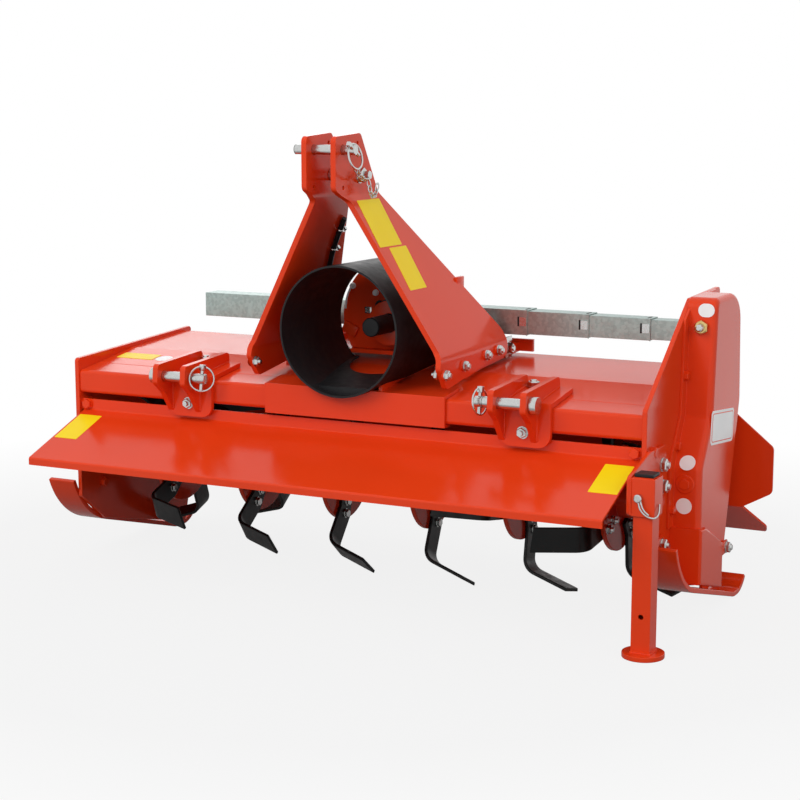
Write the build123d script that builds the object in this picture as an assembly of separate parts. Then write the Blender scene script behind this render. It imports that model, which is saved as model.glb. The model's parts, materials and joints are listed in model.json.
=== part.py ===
from build123d import *
import math
import os

# Stance and main frame, in millimetres. X runs across, Y to the rear, Z up from the floor
machine_height = 930.0       # floor to the top of the mast
machine_length = 740.0       # front guard's lip to the rear board's lip
beam_top = 424.0             # top front edge of the beam above the floor
inner_width = 1260.0         # between the side plates
side_plate = 10.0            # side plate thickness
sheet = 4.0                  # hood, guard and rear board sheet
sheet_bend = 10.0            # outer bend radius of folded sheet
slide_gap = 0.5              # play of a guide on what it slides along
moving_gap = 6.0             # least space between pieces that move past each other
hole_gap = 0.25              # radial play of a loose pin in its hole
running_gap = 0.05           # radial play of a shaft in its bearing

# Front beam
beam_depth = 64.0
beam_height = 48.0
beam_wall = 6.0
beam_corner = 8.0

# Hood, as rises above the beam's top front edge
hood_bend_y = 193.0
hood_bend_rise = 27.0
hood_rear_y = 408.0
hood_rear_rise = 40.0
hood_end_y = 440.0
hood_end_rise = 14.0

# Side plates
plate_front_y = -4.0
plate_rear_y = 432.0
plate_nose_z = 150.0
plate_toe_y = 80.0
plate_toe_z = 84.0
plate_heel_y = 392.0
plate_heel_z = 12.0
plate_rear_z = 150.0
right_front_rise = 26.0
right_rear_rise = 48.0
left_front_rise = 10.0
left_peak_y = 245.0
left_peak_rise = 192.0
left_rear_rise = 198.0
plate_corner = 8.0

# Front guard, as drops below the beam's top front edge
guard_face_y = 6.0
guard_top_drop = 61.0
guard_fold_drop = 84.0
guard_lip_y = -188.0
guard_lip_drop = 156.0
guard_lip_height = 15.0
guard_lug = 6.0
guard_lug_depth = 30.0

# Rotor
rotor_y = 216.0
rotor_z = 217.0
tine_reach = 212.0           # from the rotor's axis to the tine tips
rotor_tube_radius = 38.0
rotor_end_gap = 20.0
stub_radius = 20.0
stub_depth = 30.0            # length of a stub shaft inside its bearing
flange_count = 6
flange_end_gap = 117.5       # last flange's middle to the side plate
flange_radius = 105.0
flange_thickness = 10.0
tines_per_flange = 4
flange_twist = 15.0          # turn from one flange to the next, degrees
tine_thickness = 7.0
tine_seat = 0.2              # paint between a tine and its flange
rotor_phase = -45.0          # turn of the first flange when parked, degrees
tine_root = 46.0             # inner end of a tine's shank
tine_elbow_share = 0.42      # of the reach, where a shank starts to lean back
tine_width = 50.0
tine_lean = 25.0             # lean of a shank's outer end, degrees
tine_bend = 34.0
blade_gap = 7.0              # blade tips to the side plates
blade_slope = 19.0           # how far a blade opens outwards, degrees
blade_taper = 8.0

# Rotor bearing on the right side plate
bearing_flange_radius = 70.0
bearing_flange = 12.0
bearing_boss_radius = 42.0
bearing_boss = 30.0

# Chain case on the left side plate
case_depth = 58.0
case_top_rise = 196.0
case_bottom = 84.0
case_front_top_y = 222.0
case_rear_top_y = 388.0
case_waist_y = 402.0
case_waist_z = 404.0
case_rear_low_y = 312.0
case_front_low_y = 146.0
case_step_low_z = 304.0
case_step_high_z = 392.0
case_step_y = 205.0
case_corner = 22.0
case_crown = 60.0
case_edge = 12.0             # rounding of the case's outer edges
case_rim = 24.0              # flange around the case against the side plate
case_rim_plate = 5.0
cap_skin = 6.0
cap_top = 188.0
cap_shoulder_y = 170.0
cap_side_z = 134.0
cap_rear_y = 288.0
cap_front_bottom = 80.0
cap_rear_bottom = 40.0

# Skids, with the heel on the floor
skid_width = 66.0
skid_thickness = 10.0
skid_slope = 15.5            # rise of the skid towards its nose, degrees
skid_flat_front_y = 383.0
skid_flat_rear_y = 395.0
skid_bend_radius = 80.0
skid_nose_start_y = 95.0
skid_nose_radius = 173.0
skid_nose_turn = 54.0
skid_heel_radius = 70.0
skid_heel_turn = 50.0
skid_ear = 8.0
skid_ear_width = 42.0
skid_front_ear_y = 72.0
skid_front_ear_top = 184.0
skid_rear_ear_y = 365.0
skid_rear_ear_top = 108.0
skid_ear_corner = 10.0

# Stand
stand_y = -88.0
leg_size = 36.0
leg_wall = 4.0
sleeve_wall = 4.0
sleeve_bottom = 262.0
sleeve_top = 332.0
leg_top = 333.0
leg_cap = 6.0
leg_hole_radius = 5.0
leg_hole_z = 78.0
foot_radius = 39.0
foot_thickness = 10.0
stand_plate = 8.0
stand_plate_rear_y = 88.0
stand_plate_top = 359.0

# Rear board and its hinge
hinge_reach = 24.0           # hinge's axis behind the hood's rear edge
hinge_drop = 10.0            # hinge's axis below the hood's rear edge
hinge_rod_radius = 8.0
knuckle_radius = 14.0
knuckle_length = 90.0
knuckle_spacing = 380.0
hinge_lug = 8.0
hinge_lug_gap = 1.0
lug_root_depth = 12.0
lug_root_height = 18.0
board_half_width = 752.0
board_top_half_width = 606.0
board_chamfer_drop = 129.0
board_wing_drop = 224.0
board_bottom_drop = 258.0
board_bottom_half_width = 690.0
lip_end_drop = 326.0
lip_end_half_width = 734.0
board_corner = 14.0
lip_corner = 18.0

# Headstock
headstock_x = 15.0
sleeve_left = 219.0          # ends of the beam sleeve from the headstock's middle
sleeve_right = 182.0
guide_plate = 6.0
base_plate = 8.0
base_wall = 8.0
base_rear_y = 400.0
base_plate_front_y = 214.0
base_wall_front_y = 120.0
rail_half_spread = 74.0      # inside of the rails beside the shield
rail_height = 12.0
cross_half_width = 236.0     # wings at the rear of the base
cross_rise = 72.0
mast_plate = 11.0
mast_gap = 52.0
mast_half_foot = 205.0       # inside of a mast plate's foot from the middle
mast_kink_drop = 118.0        # places on the mast below its top
mast_foot_rise = 77.0
mast_top_slope = 6.0         # front of the top below its rear
mast_front_top_y = -103.0
mast_tab_drop = 106.0
mast_neck_y = -56.0
mast_neck_drop = 130.0
mast_shin_y = -12.0
mast_shin_rise = 92.0
mast_front_foot_y = -20.0
mast_front_foot_rise = 60.0
mast_toe_y = 12.0
mast_back_top_y = -2.0
mast_back_kink_y = 72.0
mast_back_low_y = 304.0
mast_back_low_rise = 104.0
mast_lift = 16.0             # mast feet above the hood
mast_bend = 25.0
mast_corner = 12.0
mast_hole_radius = 4.0
mast_hole_places = ((-73.0, 102.0), (-15.0, 19.0))   # y and drop of the small holes
top_pin_radius = 9.5
top_pin_y = -73.0
top_pin_drop = 31.0
top_pin_overhang = 28.0
spacer_radius = 12.0
spacer_y = -8.0
spacer_drop = 80.0
mast_bolt_radius = 8.0
mast_bolt_head = 8.0
mast_bolt_head_radius = 13.0
mast_bolt_tail = 24.0

# Gearbox, power shaft and shield
shaft_y = 345.0              # cross shaft
shaft_rise = 116.0
wall_front_y = 233.0
wall_plate = 8.0
gearbox_half_width = 85.0
gearbox_length = 160.0
gearbox_crown = 56.0
gearbox_edge = 14.0
lid_half_width = 58.0
lid_length = 130.0
lid_height = 10.0
rear_cap_radius = 52.0
rear_cap = 12.0
boss_radius = 46.0
boss_front_y = 186.0
pto_radius = 17.45
pto_journal_radius = 20.0    # where the power shaft runs in the gearbox
pto_front_y = 108.0
pto_seat = 40.0
shield_radius = 130.0
shield_wall = 4.0
shield_front_y = -32.0
shield_rear_y = 214.0
shield_rise = 122.0
shield_notch_width = 84.0    # half width of the notch in the shield's floor
shield_notch_length = 120.0
output_boss_radius = 40.0
output_boss = 14.0

# Galvanised cover over the cross shaft
cover_size = 52.0
cover_wall = 1.5
cover_end_x = -515.0
cover_overlap = 22.0
cover_joint_a = 268.0
cover_joint_b = 402.0
cover_joint_c = 532.0

# Lower hitch brackets
hitch_spread = 746.0
hitch_pin_radius = 11.0
hitch_pin_y = -42.0
hitch_pin_rise = 10.0
cheek = 12.0
cheek_gap = 54.0
cheek_nose_y = -68.0
cheek_rear_y = 104.0
cheek_rear_rise = 46.0
cheek_nose_rise = 36.0
cheek_nose_slope = 4.0
cheek_nose_drop = 2.0
cheek_chin_y = -40.0
cheek_chin_drop = 24.0
cheek_tip_drop = 66.0
cheek_corner = 10.0
bracket_plate = 10.0
bracket_right = 40.0         # ends of a bracket's plate from the middle of its cheeks
bracket_left = 66.0
bracket_bottom_drop = 76.0
bracket_corner = 26.0
pin_head_radius = 17.0
pin_head = 15.0
pin_tail = 18.0

half = inner_width / 2
plate_out = half + side_plate
flange_spacing = (inner_width - 2 * flange_end_gap) / (flange_count - 1)
blade_length = flange_end_gap - flange_thickness / 2 - tine_seat - blade_gap
guide_lift = slide_gap + guide_plate
shaft_z = beam_top + shaft_rise
hinge_y = hood_end_y + hinge_reach
hinge_z = beam_top + hood_end_rise - hinge_drop
lip_end_y = guard_lip_y + machine_length
mast_top_rise = machine_height - beam_top
mast_kink_rise = mast_top_rise - mast_kink_drop
mast_tab_rise = mast_top_rise - mast_tab_drop
mast_neck_rise = mast_top_rise - mast_neck_drop
top_pin_rise = mast_top_rise - top_pin_drop
spacer_rise = mast_top_rise - spacer_drop
stand_x = plate_out + stand_plate + sleeve_wall + slide_gap + leg_size / 2
nodes = {}


def hood_top(y):
    """Height of the beam's and hood's outer face at a place along the machine."""
    if y <= hood_bend_y:
        return beam_top + hood_bend_rise * y / hood_bend_y
    share = (y - hood_bend_y) / (hood_rear_y - hood_bend_y)
    return beam_top + hood_bend_rise + (hood_rear_rise - hood_bend_rise) * share


def rounded(points, radius):
    """Closed outline with every corner rounded, or one radius for each corner."""
    return make_face(FilletPolyline(*points, radius=radius, close=True))


def across(face, x_from, x_to):
    """Plate or bar with a (y, z) section, between two places across the machine."""
    return extrude(Plane.YZ.offset(x_from) * face, amount=x_to - x_from, dir=(1, 0, 0))


def along(face, y_from, y_to):
    """Plate with an (x, z) section, between two places along the machine."""
    return extrude(Plane.XZ.offset(-y_from) * face, amount=y_to - y_from, dir=(0, 1, 0))


def folded(points, thickness, bend, side):
    """Section of a sheet folded along its outer points."""
    path = FilletPolyline(*points, radius=bend)
    return make_face(offset(path, amount=thickness, side=side))


def rod(radius, x_from, x_to, y, z):
    """Round bar across the machine."""
    length = x_to - x_from
    return Pos((x_from + x_to) / 2, y, z) * Rot(0, 90, 0) * Cylinder(radius, length)


def square_tube(size, wall, x_from, x_to, y, z):
    """Square tube across the machine."""
    section = Rectangle(size, size) - Rectangle(size - 2 * wall, size - 2 * wall)
    return across(Pos(y, z) * section, x_from, x_to)


def mirrored(shape, middle_x):
    """The same piece on the other side of a plane across the machine."""
    return mirror(shape, about=Plane.YZ.offset(middle_x))


def gathered(shapes):
    """Separate solids kept together as one piece of the machine."""
    return Compound([solid for shape in shapes for solid in shape.solids()])


def front_beam():
    bottom = beam_top - beam_height
    outer = Polygon((0, bottom), (0, beam_top), (beam_depth, hood_top(beam_depth)), (beam_depth, bottom), align=None)
    outer = fillet(outer.vertices().group_by(Axis.X)[0], beam_corner)
    return across(outer - offset(outer, amount=-beam_wall), -half, half)


def hood():
    points = [(y, hood_top(y)) for y in (beam_depth, hood_bend_y, hood_rear_y)]
    points.append((hood_end_y, beam_top + hood_end_rise))
    return across(folded(points, sheet, sheet_bend, Side.RIGHT), -half, half)


def front_guard():
    points = [
        (guard_face_y, beam_top - guard_top_drop),
        (guard_face_y, beam_top - guard_fold_drop),
        (guard_lip_y, beam_top - guard_lip_drop),
        (guard_lip_y, beam_top - guard_lip_drop - guard_lip_height),
    ]
    end = half - guard_lug
    guard = across(folded(points, sheet, sheet_bend / 2, Side.LEFT), -end, end)
    lug_rear = guard_face_y + guard_lug_depth
    lug = [(guard_face_y, beam_top - guard_top_drop), (lug_rear, beam_top - guard_top_drop)]
    lug += [(lug_rear, beam_top - guard_fold_drop), (guard_face_y, beam_top - guard_fold_drop)]
    lug = Polygon(*lug, align=None)
    return guard + across(lug, end, half) + across(lug, -half, -end)


def side_plate_outline(top_points):
    """Side plate with its own top line and the shared lower edge."""
    points = top_points + [
        (plate_rear_y, plate_rear_z),
        (plate_heel_y, plate_heel_z),
        (plate_toe_y, plate_toe_z),
        (plate_front_y, plate_nose_z),
    ]
    hole = Pos(rotor_y, rotor_z) * Circle(stub_radius + moving_gap)
    return rounded(points, plate_corner) - hole


def side_plate_right():
    top = [(plate_front_y, beam_top + right_front_rise), (plate_rear_y, beam_top + right_rear_rise)]
    return across(side_plate_outline(top), -plate_out, -half)


def left_plate_top():
    """Top line of the left side plate, which rises behind the chain case."""
    return [
        (plate_front_y, beam_top + left_front_rise),
        (left_peak_y, beam_top + left_peak_rise),
        (plate_rear_y, beam_top + left_rear_rise),
    ]


def side_plate_left():
    return across(side_plate_outline(left_plate_top()), half, plate_out)


def case_outline():
    """Chain case from the cross shaft down to the rotor."""
    top = beam_top + case_top_rise
    points = [
        (case_front_low_y, case_bottom),
        (case_front_low_y, case_step_low_z),
        (case_step_y, case_step_high_z),
        (case_front_top_y, top),
        (case_rear_top_y, top),
        (case_waist_y, case_waist_z),
        (case_rear_low_y, case_bottom),
    ]
    radii = [case_corner, case_corner, case_corner, case_corner, case_crown, case_crown, case_corner]
    return rounded(points, radii)


def case_block():
    """Chain case without its flange, its outer edges rounded."""
    block = across(case_outline(), plate_out, plate_out + case_depth)
    return fillet(block.edges().group_by(Axis.X)[-1], case_edge)


def chain_case():
    case = case_block()
    rim = offset(case_outline(), amount=case_rim) & side_plate_outline(left_plate_top())
    rim &= Pos(case_front_top_y, cap_top + half) * Rectangle(2 * half, 2 * half)
    case += across(rim, plate_out, plate_out + case_rim_plate)
    return case - rod(stub_radius + running_gap, plate_out, plate_out + stub_depth, rotor_y, rotor_z)


def chain_case_cap():
    """Shroud over the lower front of the chain case."""
    points = [
        (case_front_low_y - cap_skin, cap_front_bottom),
        (case_front_low_y - cap_skin, cap_top),
        (cap_shoulder_y, cap_top),
        (cap_rear_y, cap_side_z),
        (cap_rear_y, cap_rear_bottom),
    ]
    outside = plate_out + case_depth + cap_skin
    shroud = across(Polygon(*points, align=None), plate_out, outside)
    shroud = fillet(shroud.edges().group_by(Axis.X)[-1], cap_skin)
    return shroud - case_block()


def rotor_bearing():
    face = -plate_out
    housing = rod(bearing_flange_radius, face - bearing_flange, face, rotor_y, rotor_z)
    housing += rod(bearing_boss_radius, face - bearing_flange - bearing_boss, face, rotor_y, rotor_z)
    return housing - rod(stub_radius + running_gap, face - stub_depth, face, rotor_y, rotor_z)


def skid_line(y):
    """Height of the underside of a skid's straight run."""
    slope = math.radians(skid_slope)
    bend_y = skid_flat_front_y - skid_bend_radius * math.sin(slope)
    return skid_bend_radius * (1 - math.cos(slope)) + (bend_y - y) * math.tan(slope)


def skid_nose_middle():
    """Middle of the arc of a skid's nose."""
    slope = math.radians(skid_slope)
    y = skid_nose_start_y + skid_nose_radius * math.sin(slope)
    return y, skid_line(skid_nose_start_y) + skid_nose_radius * math.cos(slope)


def skid_bottom(y):
    """Height of a skid's underside from its nose to its heel."""
    if y >= skid_nose_start_y:
        return max(skid_line(y), 0)
    nose_y, nose_z = skid_nose_middle()
    return nose_z - math.sqrt(skid_nose_radius ** 2 - (nose_y - y) ** 2)


def skid_strip():
    """Curved strip section, from the tip of the nose to the tip of the heel."""
    bend_y = skid_flat_front_y - skid_bend_radius * math.sin(math.radians(skid_slope))
    turned = 270 - skid_slope - skid_nose_turn
    path = CenterArc(skid_nose_middle(), skid_nose_radius, turned, skid_nose_turn)
    path += Line((skid_nose_start_y, skid_line(skid_nose_start_y)), (bend_y, skid_line(bend_y)))
    path += CenterArc((skid_flat_front_y, skid_bend_radius), skid_bend_radius, 270 - skid_slope, skid_slope)
    path += Line((skid_flat_front_y, 0), (skid_flat_rear_y, 0))
    path += CenterArc((skid_flat_rear_y, skid_heel_radius), skid_heel_radius, 270, skid_heel_turn)
    return make_face(offset(Wire(path.edges()), amount=skid_thickness, side=Side.LEFT))


def skid(side):
    """Skid under a side plate, its two ears against the plate's outside."""
    shape = across(skid_strip(), plate_out, plate_out + skid_width)
    for y, top in ((skid_front_ear_y, skid_front_ear_top), (skid_rear_ear_y, skid_rear_ear_top)):
        front = y - skid_ear_width / 2
        rear = y + skid_ear_width / 2
        ear = [(front, skid_bottom(front) + skid_thickness / 2), (rear, skid_bottom(rear) + skid_thickness / 2)]
        ear = Polygon(*ear, (rear, top), (front, top), align=None)
        ear = fillet(ear.vertices().group_by(Axis.Y)[-1], skid_ear_corner)
        shape += across(ear, plate_out, plate_out + skid_ear)
    return shape if side > 0 else mirrored(shape, 0)


def stand_bracket():
    sleeve_half = leg_size / 2 + slide_gap + sleeve_wall
    points = [
        (stand_y - sleeve_half, sleeve_bottom),
        (stand_y - sleeve_half, sleeve_top),
        (plate_front_y, stand_plate_top),
        (stand_plate_rear_y, stand_plate_top),
        (stand_plate_rear_y, sleeve_bottom),
    ]
    return across(rounded(points, plate_corner), plate_out, plate_out + stand_plate)


def stand_sleeve():
    inside = leg_size + 2 * slide_gap
    outside = inside + 2 * sleeve_wall
    section = Rectangle(outside, outside) - Rectangle(inside, inside)
    return Pos(stand_x, stand_y, sleeve_bottom) * extrude(section, amount=sleeve_top - sleeve_bottom)


def stand_leg():
    section = Rectangle(leg_size, leg_size) - Rectangle(leg_size - 2 * leg_wall, leg_size - 2 * leg_wall)
    leg = Pos(stand_x, stand_y, foot_thickness) * extrude(section, amount=leg_top - foot_thickness)
    hole = Pos(stand_x, stand_y, leg_hole_z) * Rot(90, 0, 0) * Cylinder(leg_hole_radius, 2 * leg_size)
    return leg - hole


def stand_foot():
    return Pos(stand_x, stand_y, foot_thickness / 2) * Cylinder(foot_radius, foot_thickness)


def stand_cap():
    return Pos(stand_x, stand_y, leg_top + leg_cap / 2) * Box(leg_size, leg_size, leg_cap)


def flange_places():
    """Places of the rotor's flanges across the machine."""
    return [(i - (flange_count - 1) / 2) * flange_spacing for i in range(flange_count)]


def rotor_shaft():
    end = half - rotor_end_gap
    shape = rod(rotor_tube_radius, -end, end, rotor_y, rotor_z)
    shape += rod(stub_radius, -plate_out - stub_depth, plate_out + stub_depth, rotor_y, rotor_z)
    for x in flange_places():
        shape += rod(flange_radius, x - flange_thickness / 2, x + flange_thickness / 2, rotor_y, rotor_z)
    return shape


def tine():
    """Bent tine with its shank's face at X zero, its blade towards +X, standing up from the axis."""
    lean = math.radians(tine_lean)
    slope = math.radians(blade_slope)
    half_width = tine_width / 2
    elbow = tine_elbow_share * tine_reach
    start = elbow * math.cos(lean)
    corner = (half_width * math.cos(lean)) ** 2 + (elbow + half_width * math.sin(lean)) ** 2
    tip = math.sqrt(start ** 2 + tine_reach ** 2 - corner) - start
    bend_x = tine_bend * (1 - math.sin(slope))
    bend_end = tip - (blade_length - bend_x) * math.tan(slope)
    bend_start = bend_end - tine_bend * math.cos(slope)
    side_points = [(-half_width, tine_root), (half_width, tine_root)]
    for offset_y, reach in ((half_width, 0), (half_width, bend_start), (-half_width, bend_start), (-half_width, 0)):
        y = reach * math.sin(lean) + offset_y * math.cos(lean)
        z = elbow + reach * math.cos(lean) - offset_y * math.sin(lean)
        side_points.append((y, z))
    shank = across(Polygon(*side_points, align=None), 0, tine_thickness)
    arc = CenterArc((tine_bend, bend_start), tine_bend, 180, blade_slope - 90)
    run = Line((bend_x, bend_end), (blade_length + tine_thickness, tip + tine_thickness * math.tan(slope)))
    section = make_face(offset(Wire([arc.edge(), run.edge()]), amount=tine_thickness, side=Side.RIGHT))
    plan = [
        (0, -half_width),
        (blade_length, -half_width),
        (blade_length - blade_taper, half_width),
        (0, half_width),
    ]
    plan = extrude(Polygon(*plan, align=None), amount=tine_reach, both=True)
    blade = along(section, -half_width, half_width) & plan
    return shank + Pos(0, 0, elbow) * Rot(-tine_lean, 0, 0) * blade


def tines():
    plain = tine()
    other = mirrored(plain, 0)
    group = []
    for i, x in enumerate(flange_places()):
        for k in range(tines_per_flange):
            turn = rotor_phase + i * flange_twist + k * 360 / tines_per_flange
            hand = 1 if k % 2 == 0 else -1
            place = Pos(x + hand * (flange_thickness / 2 + tine_seat), rotor_y, rotor_z) * Rot(turn, 0, 0)
            group.append(place * (plain if hand > 0 else other))
    return gathered(group)


def knuckle_places():
    """Middles of the rear board's hinge knuckles across the machine."""
    return (-knuckle_spacing, 0, knuckle_spacing)


def hinge_rod():
    end = knuckle_spacing + knuckle_length / 2 + hinge_lug_gap + hinge_lug
    return rod(hinge_rod_radius, -end, end, hinge_y, hinge_z)


def hinge_lugs():
    """Lugs on the hood's rear edge, one on each side of every knuckle."""
    root_z = beam_top + hood_end_rise
    reach = knuckle_radius
    points = [(hood_end_y - lug_root_depth, root_z - lug_root_height), (hood_end_y, root_z)]
    points += [(hinge_y, hinge_z + reach)]
    points += [(hinge_y + reach, hinge_z), (hinge_y, hinge_z - reach)]
    section = Polygon(*points, align=None) - Pos(hinge_y, hinge_z) * Circle(hinge_rod_radius + hole_gap)
    group = []
    for middle in knuckle_places():
        for hand in (-1, 1):
            inner = middle + hand * (knuckle_length / 2 + hinge_lug_gap)
            group.append(across(section, inner, inner + hand * hinge_lug))
    return gathered(group)


def rear_board():
    front = hinge_y
    outline = [
        (-board_top_half_width, hinge_z - knuckle_radius),
        (board_top_half_width, hinge_z - knuckle_radius),
        (board_half_width, beam_top - board_chamfer_drop),
        (board_half_width, beam_top - board_wing_drop),
        (board_bottom_half_width, beam_top - board_bottom_drop),
        (-board_bottom_half_width, beam_top - board_bottom_drop),
        (-board_half_width, beam_top - board_wing_drop),
        (-board_half_width, beam_top - board_chamfer_drop),
    ]
    panel = Polygon(*outline, align=None)
    rows = panel.vertices().group_by(Axis.Y)
    board = along(fillet(rows[1] + rows[2] + rows[3], board_corner), front, front + sheet)
    bend = beam_top - board_bottom_drop
    end = beam_top - lip_end_drop
    lip_points = [(front, bend + sheet), (front, bend), (lip_end_y, end)]
    lip = across(folded(lip_points, sheet, sheet_bend / 4, Side.LEFT), -lip_end_half_width, lip_end_half_width)
    plan = [
        (-board_bottom_half_width, front),
        (board_bottom_half_width, front),
        (lip_end_half_width, lip_end_y + sheet),
        (-lip_end_half_width, lip_end_y + sheet),
    ]
    plan = Polygon(*plan, align=None)
    board += lip & extrude(fillet(plan.vertices().group_by(Axis.Y)[-1], lip_corner), amount=beam_top)
    for middle in knuckle_places():
        low = middle - knuckle_length / 2
        high = middle + knuckle_length / 2
        board += rod(knuckle_radius, low, high, hinge_y, hinge_z)
        neck = Pos(middle, front + sheet / 2, hinge_z - knuckle_radius) * Box(knuckle_length, sheet, knuckle_radius)
        board += neck
    longest = knuckle_spacing + knuckle_length
    return board - rod(hinge_rod_radius + running_gap, -longest, longest, hinge_y, hinge_z)


def beam_sleeve():
    bottom = beam_top - beam_height
    rear = beam_depth - guide_plate
    grow = guide_lift
    outer = [(rear, hood_top(rear) + grow), (0, beam_top + grow), (-grow, beam_top + grow)]
    outer += [(-grow, bottom - grow), (rear, bottom - grow)]
    inner = [(beam_depth, hood_top(beam_depth) + slide_gap), (0, beam_top + slide_gap)]
    inner += [(-slide_gap, beam_top + slide_gap)]
    inner += [(-slide_gap, bottom - slide_gap), (beam_depth, bottom - slide_gap)]
    section = Polygon(*outer, align=None) - Polygon(*inner, align=None)
    return across(section, headstock_x - sleeve_right, headstock_x + sleeve_left)


def hood_line(y_from, y_to, lift):
    """Line over the beam and hood at a height above them, from front to rear."""
    places = [y_from] + [y for y in (0, hood_bend_y) if y_from < y < y_to] + [y_to]
    return [(y, hood_top(max(y, 0)) + lift) for y in places]


def base_floor():
    """Top of the plate that the gearbox stands on."""
    return beam_top + hood_rear_rise + moving_gap + base_plate


def shield_bar(radius, y_from, y_to):
    """Round bar along the shield's middle line."""
    return along(Pos(headstock_x, beam_top + shield_rise) * Circle(radius), y_from, y_to)


def headstock_base():
    top = beam_top + mast_foot_rise - mast_bend / 2
    wall = hood_line(base_wall_front_y, base_rear_y, guide_lift) + [(base_rear_y, top), (base_wall_front_y, top)]
    wall = Polygon(*wall, align=None)
    rail = hood_line(0, base_plate_front_y, guide_lift)
    rail += hood_line(0, base_plate_front_y, guide_lift + rail_height)[::-1]
    rail = across(Polygon(*rail, align=None), rail_half_spread, rail_half_spread + base_wall)
    half_base = across(wall, mast_half_foot - base_wall, mast_half_foot) + rail
    low = hood_top(base_rear_y) + guide_lift
    high = beam_top + cross_rise
    inner = gearbox_half_width + slide_gap
    wing = Box(cross_half_width - inner, base_wall, high - low)
    half_base += Pos((inner + cross_half_width) / 2, base_rear_y - base_wall / 2, (low + high) / 2) * wing
    floor = base_floor()
    y_middle = (base_plate_front_y + base_rear_y) / 2
    plate = Box(2 * mast_half_foot, base_rear_y - base_plate_front_y, base_plate)
    base = Pos(0, y_middle, floor - base_plate / 2) * plate
    base += half_base + mirrored(half_base, 0)
    return Pos(headstock_x, 0, 0) * base - shield_bar(shield_radius + hole_gap, shield_front_y, shield_rear_y)


def mast_outline():
    """Side view of a mast plate."""
    foot = hood_line(mast_toe_y, mast_back_low_y, mast_lift)
    corners = [(point, mast_corner) for point in foot]
    corners += [
        ((mast_back_low_y, beam_top + mast_back_low_rise), 2 * mast_corner),
        ((mast_back_kink_y, beam_top + mast_kink_rise), 2 * mast_corner),
        ((mast_back_top_y, beam_top + mast_top_rise), mast_corner),
        ((mast_front_top_y, beam_top + mast_top_rise - mast_top_slope), mast_corner),
        ((mast_front_top_y, beam_top + mast_tab_rise), mast_corner),
        ((mast_neck_y, beam_top + mast_neck_rise), mast_corner),
        ((mast_shin_y, beam_top + mast_shin_rise), mast_corner),
        ((mast_front_foot_y, beam_top + mast_front_foot_rise), mast_corner),
    ]
    return rounded([point for point, radius in corners], [radius for point, radius in corners])


def mast_plate_shape():
    """Left mast plate: upright at the top, splayed, and upright again at its foot."""
    near = headstock_x + mast_gap / 2
    far = headstock_x + mast_half_foot
    points = [
        (far, beam_top - beam_height),
        (far, beam_top + mast_foot_rise),
        (near, beam_top + mast_kink_rise),
        (near, beam_top + mast_top_rise + mast_plate),
    ]
    bent = along(folded(points, mast_plate, mast_bend, Side.RIGHT), mast_front_top_y, mast_back_low_y)
    outline = mast_outline()
    outline -= Pos(top_pin_y, beam_top + top_pin_rise) * Circle(top_pin_radius + hole_gap)
    outline -= Pos(spacer_y, beam_top + spacer_rise) * Circle(mast_bolt_radius + hole_gap)
    for y, drop in mast_hole_places:
        outline -= Pos(y, machine_height - drop) * Circle(mast_hole_radius)
    return bent & across(outline, near - mast_plate, far + 2 * mast_plate)


def top_pin():
    reach = mast_gap / 2 + mast_plate + top_pin_overhang
    y = top_pin_y
    z = beam_top + top_pin_rise
    return rod(top_pin_radius, headstock_x - reach, headstock_x + reach, y, z)


def mast_spacer():
    low = headstock_x - mast_gap / 2
    high = headstock_x + mast_gap / 2
    z = beam_top + spacer_rise
    bore = mast_bolt_radius + hole_gap
    return rod(spacer_radius, low, high, spacer_y, z) - rod(bore, low, high, spacer_y, z)


def mast_bolt():
    """Bolt through the spacer and both mast plates, its longer end to the left."""
    outside = mast_gap / 2 + mast_plate
    z = beam_top + spacer_rise
    bolt = rod(mast_bolt_radius, headstock_x - outside, headstock_x + outside + mast_bolt_tail, spacer_y, z)
    head = headstock_x - outside
    return bolt + rod(mast_bolt_head_radius, head - mast_bolt_head, head, spacer_y, z)


def headstock_wall():
    """Upright plate across the headstock, which carries the shield and the gearbox."""
    floor = base_floor()
    middle_z = beam_top + shield_rise
    face = Pos(headstock_x, middle_z) * Circle(shield_radius)
    keep = Pos(headstock_x, floor + shield_radius) * Rectangle(4 * shield_radius, 2 * shield_radius)
    face = (face & keep) - Pos(headstock_x, shaft_z) * Circle(boss_radius + hole_gap)
    return along(face, wall_front_y, wall_front_y + wall_plate)


def gearbox():
    floor = base_floor()
    front = wall_front_y + wall_plate
    top = shaft_z + gearbox_crown
    block = Box(2 * gearbox_half_width, gearbox_length, top - floor)
    block = Pos(headstock_x, front + gearbox_length / 2, (top + floor) / 2) * block
    edges = block.edges().filter_by(Axis.Y) + block.edges().group_by(Axis.Z)[-1].filter_by(Axis.X)
    block = chamfer(edges, gearbox_edge)
    middle_y = front + gearbox_length / 2
    block += Pos(headstock_x, middle_y, top + lid_height / 2) * Box(2 * lid_half_width, lid_length, lid_height)
    rear = Pos(headstock_x, front + gearbox_length + rear_cap / 2, shaft_z) * Rot(90, 0, 0)
    block += rear * Cylinder(rear_cap_radius, rear_cap)
    boss = Pos(headstock_x, (boss_front_y + front) / 2, shaft_z) * Rot(90, 0, 0)
    block += boss * Cylinder(boss_radius, front - boss_front_y)
    side = gearbox_half_width + output_boss
    block += rod(output_boss_radius, headstock_x - side, headstock_x + side, shaft_y, shaft_z)
    seat = Pos(headstock_x, boss_front_y + pto_seat / 2, shaft_z) * Rot(90, 0, 0)
    return block - seat * Cylinder(pto_journal_radius + running_gap, pto_seat)


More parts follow.
